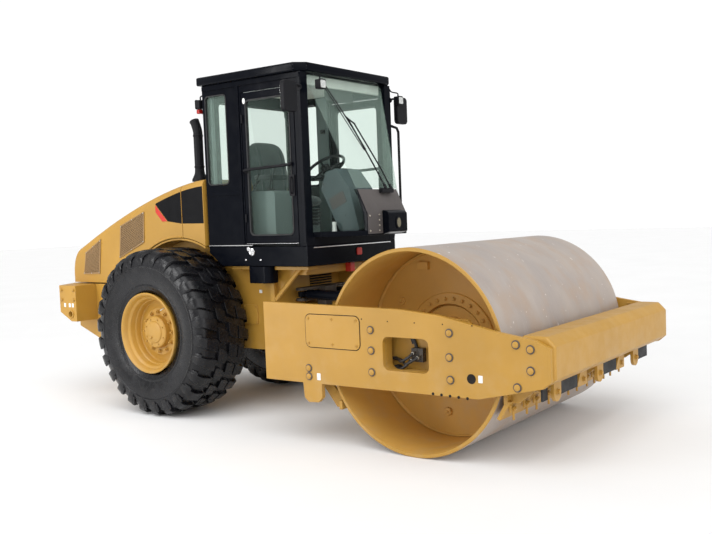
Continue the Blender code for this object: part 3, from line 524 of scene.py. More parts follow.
def cast_surface():
    """Sand-cast iron under thin dark paint, greasy in patches."""
    f = Finish("cast_dark", "cast_iron", (0.055, 0.048, 0.042), 0.55, 0.3)
    soft, edge = f.rounding(0.004)
    shade = f.mix(f.band(f.noise(5, 5), 0.35, 0.7), (0.035, 0.03, 0.027, 1), (0.09, 0.075, 0.06, 1))
    f.set("Base Color", f.mix(f.math("MULTIPLY", edge, 0.6), shade, (0.20, 0.16, 0.12, 1)))
    f.set("Roughness", f.band(f.noise(8, 4), 0.3, 0.7, 0.35, 0.75))
    f.set("Normal", f.bump(f.noise(170, 3), 0.002, 0.4, soft))
    return f.material


def lens(name, colour):
    """A moulded lens with a fine prism pattern behind a clear face."""
    f = Finish(name, None, colour, 0.12, Coat_Weight=0.8, Coat_Roughness=0.03)
    prisms = f.cells(90)
    f.set("Base Color", f.mix(f.band(prisms, 0.1, 0.6), colour + (1,), tone(colour, 0.62)))
    f.set("Normal", f.bump(prisms, 0.002, 0.5))
    return f.material


def label():
    """A blank vinyl label, a little soiled."""
    f = Finish("blank_label", None, (0.80, 0.80, 0.78), 0.4)
    soil = f.band(f.noise(25, 5), 0.5, 0.8)
    f.set("Base Color", f.mix(soil, (0.82, 0.82, 0.80, 1), (0.6, 0.58, 0.54, 1)))
    f.set("Normal", f.bump(f.noise(90, 3), 0.0005, 0.3))
    return f.material


# most finishes take a name, the slot of their pieces or None, a colour and a roughness
PAINT_WEAR = ((0.24, 0.15, 0.07, 1), 0.30), ((0.50, 0.37, 0.22, 1), 0.28)
BLACK_WEAR = ((0.06, 0.06, 0.07, 1), 0.5), ((0.10, 0.09, 0.075, 1), 0.18)
YELLOW = painted("yellow_enamel", "yellow_paint", (0.465, 0.252, 0.038), 0.40, *PAINT_WEAR)
# a lighter copy of the yellow for the drum's inside, end plates and hubs: painted light where the drum's
# inside is in shade
PAINTED_LIGHT_YELLOW = painted("drum_enamel_painted_light", "yellow_paint", (0.66, 0.38, 0.085), 0.45, *PAINT_WEAR)
BLACK = painted(
    "black_enamel", "black_paint", (0.0030, 0.0038, 0.0065), 0.16, *BLACK_WEAR, Specular_IOR_Level=0.06,
)
SATIN_BLACK = painted(
    "satin_black", "black_paint", (0.009, 0.009, 0.011), 0.42, *BLACK_WEAR, Specular_IOR_Level=0.14,
)
CHARCOAL = moulded("charcoal_panel", "black_paint", (0.085, 0.075, 0.072), 0.6, 0.8)
STEEL = worn_steel()
RUBBER = tyre_rubber()
GLASS = tinted_glass()
CLOTH = woven("seat_cloth", "seat_cover", (0.045, 0.066, 0.066))
PIPING = moulded("seat_vinyl", "seat_cover", (0.025, 0.035, 0.036), 0.5)
TRIM = moulded("grey_green_trim", "cab_trim", (0.115, 0.150, 0.145))
SLATE_TRIM = moulded("slate_console", "cab_trim", (0.058, 0.082, 0.088))
PALE_TRIM = moulded("pale_lining", "cab_trim", (0.66, 0.66, 0.63), 0.8)
SEAL = moulded("black_seal", None, (0.012, 0.012, 0.013), 0.6)
HOSE = moulded("hose_rubber", None, (0.02, 0.02, 0.021), 0.45)
IRON = cast_surface()
CHROME = bare_metal("hard_chrome", "chrome", (0.78, 0.78, 0.80), 0.08, 40, (1, 0.2, 1))
ZINC = bare_metal("plated_fitting", None, (0.62, 0.58, 0.50), 0.3, 60)
BRIGHT = bare_metal("bright_strip", None, (0.86, 0.86, 0.87), 0.16, 25, (1, 0.1, 4))
GRILLE = painted("perforated_brown", "yellow_paint", (0.33, 0.20, 0.085), 0.6, *PAINT_WEAR)
# near-black for sheets behind grilles, louvres and slats and for discs in place of holes: painted shade; the
# cab isolators' rubber pucks wear it as their own colour
SHADE_AND_RUBBER = moulded("painted_shade_and_rubber", None, (0.012, 0.009, 0.007), 0.9)
RED = painted("red_enamel", None, (0.62, 0.035, 0.02), 0.3, ((0.1, 0.05, 0.04, 1), 0.3), PAINT_WEAR[1])
DECAL = painted("black_film", None, (0.004, 0.004, 0.005), 0.3, *BLACK_WEAR, Specular_IOR_Level=0.12)
LABEL = label()
LAMP = lens("clear_lens", (0.80, 0.82, 0.80))
RED_LENS = lens("red_lens", (0.55, 0.02, 0.015))
DULL_LENS = lens("dull_lens", (0.20, 0.17, 0.085))
WHITE = moulded("white_bottle", None, (0.80, 0.80, 0.78), 0.5)
MIRROR = bare_metal("mirror_glass", None, (0.85, 0.88, 0.88), 0.03, 4)


# ---------------------------------------------------------------- pieces


def linked(name, data):
    made = bpy.data.objects.new(name, data)
    bpy.context.scene.collection.objects.link(made)
    return made


def to_mesh(bm, name):
    mesh = bpy.data.meshes.new(name)
    bm.to_mesh(mesh)
    bm.free()
    return mesh


def soften(made, width, segments=2):
    """Rounds the edges sharper than 35 degrees."""
    step = made.modifiers.new("edges", "BEVEL")
    step.width = width
    step.segments = segments
    step.limit_method = "ANGLE"
    step.angle_limit = math.radians(35)
    step.harden_normals = True


def piece(name, bm, finish, body, replaces=(), edge=0.0, sharp=38, segments=2):
    """The bmesh as a shaded piece that rides on a body."""
    bmesh.ops.recalc_face_normals(bm, faces=bm.faces)
    mesh = to_mesh(bm, name)
    mesh.shade_smooth()
    if not edge:
        mesh.set_sharp_from_angle(angle=math.radians(sharp))
    made = linked(name, mesh)
    for material in finish if isinstance(finish, tuple) else (finish,):
        mesh.materials.append(material)
    if edge:
        soften(made, edge, segments)
    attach(made, body)
    if replaces:
        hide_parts(*replaces)
    return made


def loose(bm):
    """A bare object from a bmesh, to cut with or be cut."""
    bmesh.ops.recalc_face_normals(bm, faces=bm.faces)
    return linked("shape", to_mesh(bm, "shape"))


def boolean(made, operation, *cutters):
    """Cuts, or keeps what is shared, at once, and removes the cutters."""
    for cutter in cutters:
        step = made.modifiers.new("boolean", "BOOLEAN")
        step.operation = operation
        step.object = cutter
        graph = bpy.context.evaluated_depsgraph_get()
        mesh = bpy.data.meshes.new_from_object(made.evaluated_get(graph))
        made.modifiers.remove(step)
        made.data = mesh
        bpy.data.objects.remove(cutter)
    return made


def clean_shading():
    """A node group that welds a frame node's split corners and drops its stored normals."""
    group = bpy.data.node_groups.new("clean_shading", "GeometryNodeTree")
    group.interface.new_socket("Geometry", in_out="INPUT", socket_type="NodeSocketGeometry")
    group.interface.new_socket("Geometry", in_out="OUTPUT", socket_type="NodeSocketGeometry")
    start = group.nodes.new("NodeGroupInput")
    weld = group.nodes.new("GeometryNodeMergeByDistance")
    weld.inputs["Distance"].default_value = 0.00002
    drop = group.nodes.new("GeometryNodeRemoveAttribute")
    drop.inputs["Name"].default_value = "custom_normal"
    smooth = group.nodes.new("GeometryNodeSetShadeSmooth")
    smooth.inputs["Shade Smooth"].default_value = True
    edges = group.nodes.new("GeometryNodeSetShadeSmooth")
    edges.domain = "EDGE"
    edges.inputs["Shade Smooth"].default_value = True
    end = group.nodes.new("NodeGroupOutput")
    chain = [start, drop, weld, smooth, edges, end]
    for first, second in zip(chain, chain[1:]):
        group.links.new(first.outputs[0], second.inputs[0])
    return group


CLEAN = clean_shading()


def dress(node, finish, edge=0.003, segments=2):
    """A frame node keeps its shape: it gets its finish, and its edges a small radius."""
    kept = NODES[node]
    for slot in kept.material_slots:
        slot.material = finish
    step = kept.modifiers.new("clean", "NODES")
    step.node_group = CLEAN
    flat = kept.modifiers.new("flat", "DECIMATE")
    flat.decimate_type = "DISSOLVE"
    flat.angle_limit = math.radians(0.5)
    soften(kept, edge, segments)


# ---------------------------------------------------------------- drum


def beside(hub, radius, turn):
    """(y, z) at a radius from a hub, the turn measured from +Y towards +Z."""
    return hub.y + radius * math.cos(turn), hub.z + radius * math.sin(turn)


def make_drum():
    half, inner = DRUM_HALF, DRUM_R - SHELL
    middle = (0, DRUM.y, DRUM.z)
    lip, face = 0.006, HEAD_FACE
    outside = [(DRUM_R - lip, -half), (DRUM_R, -half + lip), (DRUM_R, half - lip), (DRUM_R - lip, half)]
    inside = [(inner + 0.004, half), (inner, half - lip), (inner, -half + lip), (inner + 0.004, -half)]
    bm = bmesh.new()
    for facet in add_lathe(bm, outside + inside, middle, (1, 0, 0), 240, True):
        place = facet.calc_center_median()
        far = math.hypot(place.y - DRUM.y, place.z - DRUM.z)
        # the inside faces take the lighter yellow: painted light
        facet.material_index = 0 if far > DRUM_R - 0.001 else 2 if far < inner + 0.001 else 1
    piece("drum_skin", bm, (STEEL, YELLOW, PAINTED_LIGHT_YELLOW), "drum", ["drum_shell"], sharp=25)

    plate = [
        (0, 0), (0, face - 0.012), (0.285, face - 0.012), (0.292, face - 0.030), (0.300, face - 0.030),
        (0.304, face + 0.012), (0.384, face + 0.012), (0.390, face + 0.006), (0.390, face - 0.002),
        (inner - 0.02, face), (inner - 0.014, face + 0.009), (inner - 0.0035, face + 0.017),
        (inner - 0.0035, 0),
    ]
    hub = [
        (0, 0.40), (0, 0.553), (0.120, 0.553), (0.124, 0.549), (0.124, 0.530), (0.196, 0.526),
        (0.204, 0.518), (0.204, 0.49), (0.204, 0.40),
    ]
    cap = [(0, -0.01), (0, 0.02), (0.03, 0.02), (0.034, 0.016), (0.034, -0.01)]
    plates, hubs = bmesh.new(), bmesh.new()
    for _, side in SIDES:
        out = (side, 0, 0)
        add_lathe(plates, plate, middle, out, 128)
        add_lathe(hubs, hub, middle, out, 72)
        add_bolt_circle(hubs, (side * 0.508, DRUM.y, DRUM.z), out, 0.344, 28, 0.0135)
        add_bolt_circle(hubs, (side * 0.526, DRUM.y, DRUM.z), out, 0.162, 12, 0.0125)
        # small capped bosses on the head
        for turn in (0.6, 2.7, 4.8):
            y, z = beside(DRUM, 0.55, turn)
            add_lathe(hubs, cap, (side * face, y, z), out, 24)
            add_bolt(hubs, (side * (face + 0.018), y, z), out, 0.012, False)
        # balance weights welded just inside the rim
        for turn in (1.2, 1.75):
            y, z = beside(DRUM, 0.64, turn)
            add_block(hubs, span(side, face - 0.004, face + 0.03), (y - 0.05, y + 0.05), (z - 0.03, z + 0.03))
    # the heads and hubs wear the lighter yellow too: painted light
    piece("drum_end_plates", plates, PAINTED_LIGHT_YELLOW, "drum", ["drum_heads"], sharp=30)
    piece("drum_hubs", hubs, PAINTED_LIGHT_YELLOW, "drum")


def make_drum_mounts():
    """The mounts between the plates and the drum, their rubbers and the hoses over them."""
    for name, _ in SIDES:
        dress(f"drum_mount_{name}", YELLOW)
    rubber = [
        (0.0, 0.0), (0.052, 0.0), (0.058, 0.012), (0.050, 0.03), (0.058, 0.048), (0.052, 0.06), (0, 0.06),
    ]
    bm = bmesh.new()
    for _, side in SIDES:
        for y, z in rectangle((-0.16, 0.16), (0.16, -0.16)):
            place = (side * (PLATE_X - 0.175), DRUM.y + y, DRUM.z + z)
            add_lathe(bm, rubber, place, (side, 0, 0), 28)
    piece("drum_isolators", bm, SEAL, "front_frame")
    bm = bmesh.new()
    # over the mount, then out between the drum's rim and the plate to the beam
    for start, knee, low in (((0.02, 0.06), (0.16, 0.30), 0.21), ((-0.02, 0.00), (0.12, 0.20), 0.15)):
        path = [
            (-0.990, DRUM.y + start[0], DRUM.z + start[1]),
            (-1.005, DRUM.y + (start[0] + knee[0]) / 2, DRUM.z + knee[1] * 0.8),
            (-1.020, DRUM.y + knee[0] + 0.08, DRUM.z + knee[1]),
            (-1.070, DRUM.y + 0.42, DRUM.z + low + 0.03),
            (-GAP_X, DRUM.y + 0.56, DRUM.z + low),
            (-GAP_X, DRUM.y + 0.72, DRUM.z + low - 0.01),
            (-GAP_X, BEAM_LOW.y + 0.02, DRUM.z + low - 0.02),
        ]
        add_pipe(bm, path, 0.012, 10)
    piece("drum_hoses", bm, HOSE, "front_frame")


# ---------------------------------------------------------------- front frame

# (distance behind the drum's axle, height) of the bolts on each side plate
PLATE_BOLTS = (
    (0.29, 0.935), (0.29, 0.783), (0.29, 0.622), (-0.388, 0.946), (-0.384, 0.776), (-0.388, 0.619),
    (-0.899, 0.894), (-1.005, 0.868), (-1.004, 0.727), (-0.904, 0.609), (0.90, 0.61), (0.90, 0.545),
)


def make_front_frame():
    for name in ("left", "right"):
        dress(f"front_plate_{name}", YELLOW, 0.004)
    for name in ("rear_crossmember", "scraper_front", "scraper_rear"):
        dress(name, YELLOW, 0.005)
    dress("front_bumper", YELLOW, 0.022, 4)

    ring = [(0, 0), (0.029, 0), (0.031, 0.003), (0.031, 0.005), (0.029, 0.007), (0, 0.007)]
    head = [(0.0, 0.0), (0.0225, 0.0), (0.0225, 0.012), (0.019, 0.0155), (0.012, 0.0175), (0, 0.018)]
    heads, rings, hole_and_seam_shade, labels, welds = (bmesh.new() for _ in range(5))
    for name, side in SIDES:
        out = (side, 0, 0)
        for y, z in PLATE_BOLTS:
            place = (side * PLATE_X, DRUM.y + y, z)
            add_lathe(rings, ring, place, out, 28)
            add_lathe(heads, head, place, out, 28)
        # dark discs in place of the plate's holes: painted shade
        add_disc(hole_and_seam_shade, (side * PLATE_X, DRUM.y - 0.554, 0.639), out, 0.034, 0.0025, 32)
        for step in range(5):
            y, z = -0.239 - 0.07 * step, 0.509 - 0.002 * step
            add_disc(hole_and_seam_shade, (side * PLATE_X, DRUM.y + y, z), out, 0.0105, 0.002, 16)
        for step in range(7):
            y = 0.84 - 0.235 * step
            z = 1.012 if y > 0.3 else 1.004
            add_disc(hole_and_seam_shade, (side * PLATE_X, DRUM.y + y, z), out, 0.005, 0.0015, 10)
        for y, z, half in ((0.805, 0.548, 0.018), (-0.625, 0.642, 0.017)):
            ys, zs = (DRUM.y + y - half, DRUM.y + y + half), (z - half * 1.5, z + half * 1.5)
            add_plate(labels, rounded_box(ys, zs, 0.004, 2), side, PLATE_X + 0.0002, PLATE_X + 0.0014)
        # the side hatch, the seam round it and its screws
        ys, zs = (DRUM.y + 0.393, DRUM.y + 0.916), (0.777, 1.029)
        bm = bmesh.new()
        add_plate(bm, rounded_box(ys, zs, 0.045, 6), side, PLATE_X + 0.0005, PLATE_X + 0.0055)
        piece(f"side_hatch_{name}", bm, YELLOW, "front_frame", edge=0.0015)
        # the dark ring round the hatch: painted shade of its gap
        add_plate(hole_and_seam_shade, rounded_box(ys, zs, 0.05, 6, 0.006), side, PLATE_X + 0.0002, PLATE_X + 0.0012)
        for y in (ys[0] + 0.03, (ys[0] + ys[1]) / 2, ys[1] - 0.03):
            for z in (zs[0] + 0.03, zs[1] - 0.03):
                add_screw(heads, (side * (PLATE_X + 0.0055), y, z), out, 0.010)
    piece("plate_bolt_heads", heads, YELLOW, "front_frame")
    piece("plate_bolt_rings", rings, CHARCOAL, "front_frame")
    piece("plate_hole_and_seam_shade", hole_and_seam_shade, SHADE_AND_RUBBER, "front_frame")
    piece("plate_labels", labels, LABEL, "front_frame")

    # fillet welds where the bumper, the rear beam and the plates meet
    for _, side in SIDES:
        x = side * (PLATE_X - 0.05)
        for z in (BUMPER_LOW.z + 0.02, BUMPER_HIGH.z - 0.02):
            add_weld(welds, [(x, BUMPER_HIGH.y + 0.002, z), (x, BUMPER_HIGH.y + 0.05, z)])
        add_weld(welds, [(x, BEAM_LOW.y - 0.003, 0.62), (x, BEAM_LOW.y - 0.003, 1.0)], 0.007)
    piece("frame_welds", welds, YELLOW, "front_frame")


# ---------------------------------------------------------------- wheels

# blocks of the tread: (across, radius, half width round the tread)
SHOULDER = (
    (0.128, 0.7665, 0.058), (0.165, 0.7655, 0.055), (0.205, 0.763, 0.051), (0.240, 0.757, 0.048),
    (0.266, 0.743, 0.045), (0.281, 0.716, 0.041), (0.2885, 0.684, 0.034), (0.2895, 0.655, 0.026),
)
CENTRE = ((0.012, 0.7675, 0.052), (0.050, 0.7685, 0.060), (0.090, 0.768, 0.062), (0.112, 0.767, 0.050))
# a stepped block on the flank, between the lugs: (across, radius, start, end)
FLANK = ((0.274, 0.728, 0.072, 0.112), (0.2835, 0.700, 0.074, 0.108), (0.287, 0.672, 0.076, 0.104))
CARCASS = (
    (0.386, 0.212), (0.372, 0.236), (0.380, 0.246), (0.398, 0.254), (0.420, 0.259), (0.428, 0.266),
    (0.440, 0.267), (0.448, 0.262), (0.480, 0.271), (0.530, 0.2815), (0.580, 0.2855), (0.604, 0.286),
    (0.609, 0.2915), (0.618, 0.292), (0.624, 0.286), (0.655, 0.281), (0.690, 0.270), (0.715, 0.252),
    (0.728, 0.225), (0.736, 0.170), (0.740, 0.090), (0.7415, 0.0),
)


def add_lug(bm, rows, side, mirror, turn, depth):
    """A tread block: rows of (across, radius, start, end), the last two lengths round the tread."""
    rings = []
    for across, radius, start, end in rows:
        x = side * (TYRE_MIDDLE + mirror * across)
        ring = []
        for distance, down in ((start, 0), (end, 0), (end + 0.007, depth), (start - 0.007, depth)):
            angle = turn + distance / TYRE_R
            r = radius - down
            ring.append(bm.verts.new((x, AXLE.y + r * math.sin(angle), AXLE.z + r * math.cos(angle))))
        rings.append(ring)
    loft(bm, rings)


def make_tyre(name, side):
    bm = bmesh.new()
    outline = [*CARCASS, *((r, -h) for r, h in reversed(CARCASS[:-1])), (0.40, -0.20), (0.40, 0.20)]
    add_lathe(bm, outline, (side * TYRE_MIDDLE, AXLE.y, AXLE.z), (side, 0, 0), 156, True)
    for mirror, offset in ((1, 0.0), (-1, 0.5)):
        for i in range(LUGS):
            turn = (i + offset) * (math.tau / LUGS)
            rows = []
            for across, radius, width in SHOULDER:
                skew = 0.30 * (across - SHOULDER[0][0]) * mirror
                rows.append((across, radius, skew - width, skew + width * 0.92))
            add_lug(bm, rows, side, mirror, turn, 0.036)
            add_lug(bm, FLANK, side, mirror, turn, 0.03)
            rows = []
            for across, radius, width in CENTRE:
                skew = 0.45 * across * mirror + 0.052
                rows.append((across, radius, skew - width, skew + width))
            add_lug(bm, rows, side, mirror, turn, 0.034)
    piece(f"tyre_tread_{name}", bm, RUBBER, f"wheel_{name}", [f"tyre_{name}"], edge=0.004)


def make_rim(name, side):
    hub = (side * TYRE_MIDDLE, AXLE.y, AXLE.z)
    out = (side, 0, 0)
    profile = [
        (0, 0.208), (0.085, 0.207), (0.096, 0.202), (0.101, 0.194), (0.138, 0.190), (0.147, 0.181),
        (0.150, 0.150), (0.153, 0.136), (0.215, 0.134), (0.222, 0.129), (0.246, 0.115), (0.282, 0.112),
        (0.289, 0.119), (0.291, 0.160), (0.296, 0.168), (0.303, 0.171), (0.306, 0.178), (0.308, 0.214),
        (0.313, 0.222), (0.330, 0.234), (0.341, 0.262), (0.348, 0.272), (0.358, 0.2795), (0.366, 0.2795),
        (0.371, 0.275), (0.371, 0.262), (0.3665, 0.250), (0.350, 0.225), (0.345, -0.225), (0.3665, -0.250),
        (0.371, -0.262), (0.371, -0.275), (0.366, -0.2795), (0.358, -0.2795), (0.345, -0.262), (0.330, -0.20),
        (0.322, 0.040), (0.300, 0.070), (0.190, 0.078), (0.172, 0.060), (0.170, -0.300), (0.166, -0.3135),
        (0, -0.3135),
    ]
    bm = bmesh.new()
    add_lathe(bm, profile, hub, out, 112)
    piece(f"wheel_disc_{name}", bm, YELLOW, f"wheel_{name}", [f"rim_{name}"], sharp=32)
    bm = bmesh.new()
    outward = Vector(out)
    for i in range(12):
        angle = math.tau * i / 12
        y, z = AXLE.y + 0.184 * math.sin(angle), AXLE.z + 0.184 * math.cos(angle)
        place = Vector((side * (TYRE_MIDDLE + 0.134), y, z))
        add_rod(bm, place, place + outward * 0.004, 0.0215, 24)
        add_rod(bm, place + outward * 0.003, place + outward * 0.021, 0.0165, 6)
        add_rod(bm, place + outward * 0.020, place + outward * 0.034, 0.0095, 14, 0.0085)
    for i in range(8):
        angle = math.tau * (i + 0.5) / 8
        y, z = AXLE.y + 0.122 * math.sin(angle), AXLE.z + 0.122 * math.cos(angle)
        add_bolt(bm, (side * (TYRE_MIDDLE + 0.191), y, z), out, 0.0075, False)
    add_bolt(bm, (side * (TYRE_MIDDLE + 0.206), AXLE.y + 0.03, AXLE.z - 0.05), out, 0.012, False)
    piece(f"wheel_nuts_{name}", bm, YELLOW, f"wheel_{name}")
    bm = bmesh.new()
    stem = [
        (side * (TYRE_MIDDLE + across), AXLE.y - 0.212 + y, AXLE.z + 0.235 + z)
        for across, y, z in (
            (0.205, -0.01, 0.012), (0.245, 0, 0), (0.262, 0.012, -0.012), (0.258, 0.01, -0.01),
            (0.272, 0.022, -0.022),
        )
    ]
    add_pipe(bm, stem[:3], 0.0042, 8, 5)
    add_rod(bm, stem[3], stem[4], 0.0062, 12)
    piece(f"wheel_valve_{name}", bm, ZINC, f"wheel_{name}")


# ---------------------------------------------------------------- hood and cowl


def hood_height(y):
    return 2.155 - 0.235 * (y - HOOD_START) ** 1.5


def hood_stations(inset):
    """(y, top) from the cowl's front to the hood's end, its tail corner rounded."""
    front, back, tail = HOOD_START + inset, HOOD_HIGH.y - inset, 2.68
    stations = []
    for i in range(33):
        y = front + (tail - inset - front) * i / 32
        stations.append((y, hood_height(y) - inset))
    start, end = Vector(stations[-1]), Vector((back, HOOD_LOW.z + 0.15))
    corner = Vector((back - 0.012, start.y - 0.03))
    for i in range(1, 9):
        t = i / 8
        stations.append(tuple(start.lerp(corner, t).lerp(corner.lerp(end, t), t)))
    return stations


def hood_solid(inset, low):
    """A loft of upright sections with rounded shoulders."""
    bm = bmesh.new()
    half, radius = HOOD_X - inset, 0.055 - inset
    rings = []
    for y, top in hood_stations(inset):
        shoulder = arc((half - radius, top - radius), radius, 0, 90, 6)
        outline = [(half, low), *shoulder, *((-x, z) for x, z in reversed(shoulder)), (-half, low)]
        rings.append([bm.verts.new((x, y, z)) for x, z in outline])
    loft(bm, rings)
    return loose(bm)


def cut_block(x, y, z):
    bm = bmesh.new()
    add_block(bm, x, y, z)
    return loose(bm)


def make_hood():
    """The lifting hood and the fixed cowl before it, hollow, with the wheel arches cut through."""
    for name, body, y in (("hood", "hood", (HOOD_LOW.y, 3.2)), ("engine_cowl", "root", (0.5, COWL_HIGH.y))):
        shell = hood_solid(0, 0.9)
        hollow = hood_solid(WALL, 0.7)
        arch = bmesh.new()
        add_rod(arch, (-1, AXLE.y, AXLE.z), (1, AXLE.y, AXLE.z), ARCH_R, 128)
        shell = boolean(shell, "DIFFERENCE", hollow, loose(arch))
        shell = boolean(shell, "INTERSECT", cut_block((-1, 1), y, (HOOD_LOW.z, 2.5)))
        bm = bmesh.new()
        bm.from_mesh(shell.data)
        bpy.data.objects.remove(shell)
        bmesh.ops.remove_doubles(bm, verts=bm.verts, dist=0.0002)
        bmesh.ops.dissolve_limit(bm, angle_limit=math.radians(0.8), verts=bm.verts, edges=bm.edges)
        piece(f"{name}_panel", bm, YELLOW, body, [name], edge=0.003)

    # rolled lip round each arch, and the seal under the seam
    lip, gap = bmesh.new(), bmesh.new()
    seam = (SEAM - 0.03, SEAM + 0.028)
    for _, side in SIDES:
        path = []
        for i in range(49):
            y, z = beside(AXLE, 0.859, math.radians(8 + 114 * i / 48))
            if y > SEAM + 0.012 and z > HOOD_LOW.z + 0.01:
                path.append((side * (HOOD_X + 0.001), y, z))
        add_sweep(lip, path, 0.009, 8)
        add_block(gap, span(side, HOOD_X - WALL - 0.012, HOOD_X - WALL - 0.002), seam, (1.6, 2.04))
    piece("arch_lips", lip, YELLOW, "hood")
    add_block(gap, (-HOOD_X + 0.08, HOOD_X - 0.08), seam, (2.06, 2.075))
    piece("cowl_seal", gap, SEAL, "root")


# (y, z) of each side grille's corners
GRILLES = (
    ((1.625, 1.885), (1.995, 1.755), (2.035, 1.43), (1.646, 1.585)),
    ((2.321, 1.625), (2.582, 1.49), (2.631, 1.265), (2.366, 1.27)),
)


def in_quad(corners, u, v):
    a, b, c, d = corners
    return a.lerp(b, u).lerp(d.lerp(c, u), v)


def make_grilles():
    """Brown perforated panels: a frame with screws, a lattice of crossed strips, and a dark sheet behind as
    painted shade.
    """
    pitch, half, rim = 0.0165, 0.0028, 0.016
    for name, side in SIDES:
        lattice, frames, back, screws = (bmesh.new() for _ in range(4))
        for corners in GRILLES:
            quad = [Vector(p) for p in corners]
            middle = (quad[0] + quad[1] + quad[2] + quad[3]) / 4
            # a dark sheet behind the lattice: painted shade
            add_plate(back, quad, side, HOOD_X + 0.0005, HOOD_X + 0.002)
            for p, q in zip(quad, quad[1:] + quad[:1]):
                inner = [x + (middle - x).normalized() * rim for x in (q, p)]
                add_plate(frames, [p, q, *inner], side, HOOD_X + 0.0008, HOOD_X + 0.008)
            across = max(4, int((quad[1] - quad[0]).length / pitch))
            down = max(4, int((quad[3] - quad[0]).length / pitch))
            upright, level = Vector((half, 0)), Vector((0, half))
            strips = [((i / across, 0.03), (i / across, 0.97), upright, 0.0055) for i in range(1, across)]
            strips += [((0.03, i / down), (0.97, i / down), level, 0.005) for i in range(1, down)]
            for start, end, w, height in strips:
                p, q = in_quad(quad, *start), in_quad(quad, *end)
                add_plate(lattice, [p - w, p + w, q + w, q - w], side, HOOD_X + 0.002, HOOD_X + height)
            for u, v in ((0.03, 0.04), (0.5, 0.03), (0.97, 0.04), (0.97, 0.96), (0.5, 0.97), (0.03, 0.96)):
                p = in_quad(quad, u, v)
                add_screw(screws, (side * (HOOD_X + 0.008), p.x, p.y), (side, 0, 0), 0.0062)
        piece(f"grille_shade_sheet_{name}", back, SHADE_AND_RUBBER, "hood")
        piece(f"grille_lattice_{name}", lattice, GRILLE, "hood")
        piece(f"grille_frame_{name}", frames, GRILLE, "hood", edge=0.001)
        piece(f"grille_screws_{name}", screws, ZINC, "hood")


def clipped(points, low, high):
    """The part of an outline between two places along Y, its points still in order."""
    made = []
    for p, q in zip(points, points[1:] + points[:1]):
        if low <= p[0] <= high:
            made.append(p)
        for limit in (low, high):
            if (p[0] - limit) * (q[0] - limit) < 0:
                t = (limit - p[0]) / (q[0] - p[0])
                made.append((limit, p[1] + (q[1] - p[1]) * t))
    return made


def make_stripes():
    """The black film along the hood's flank and its red corner, split at the cowl's seam."""
    start = HOOD_START + 0.006
    edge = [start + (1.44 - HOOD_START) * i / 14 for i in range(15)]
    top = [(y, hood_height(y) - 0.062 - 0.03 * max(0, y - 1.1)) for y in edge]
    black = top + [(1.455, 1.948), (1.29, 1.782), (1.10, 1.757), (start, 1.752)]
    red = [(1.457, 1.942), (1.457, 1.872), (1.368, 1.782), (1.297, 1.782)]
    parts = (("cowl", "root", 0, COWL_HIGH.y - 0.003), ("hood", "hood", HOOD_LOW.y + 0.003, 3))
    for name, side in SIDES:
        for part, body, low, high in parts:
            bm = bmesh.new()
            kept = []
            for p in clipped(black, low, high):
                if not kept or (Vector(p) - Vector(kept[-1])).length > 1e-5:
                    kept.append(p)
            add_plate(bm, kept, side, HOOD_X + 0.0004, HOOD_X + 0.0014)
            bmesh.ops.triangulate(bm, faces=bm.faces)
            piece(f"stripe_{part}_{name}", bm, DECAL, body)
        bm = bmesh.new()
        add_plate(bm, red, side, HOOD_X + 0.0004, HOOD_X + 0.0014)
        piece(f"stripe_red_{name}", bm, RED, "hood")


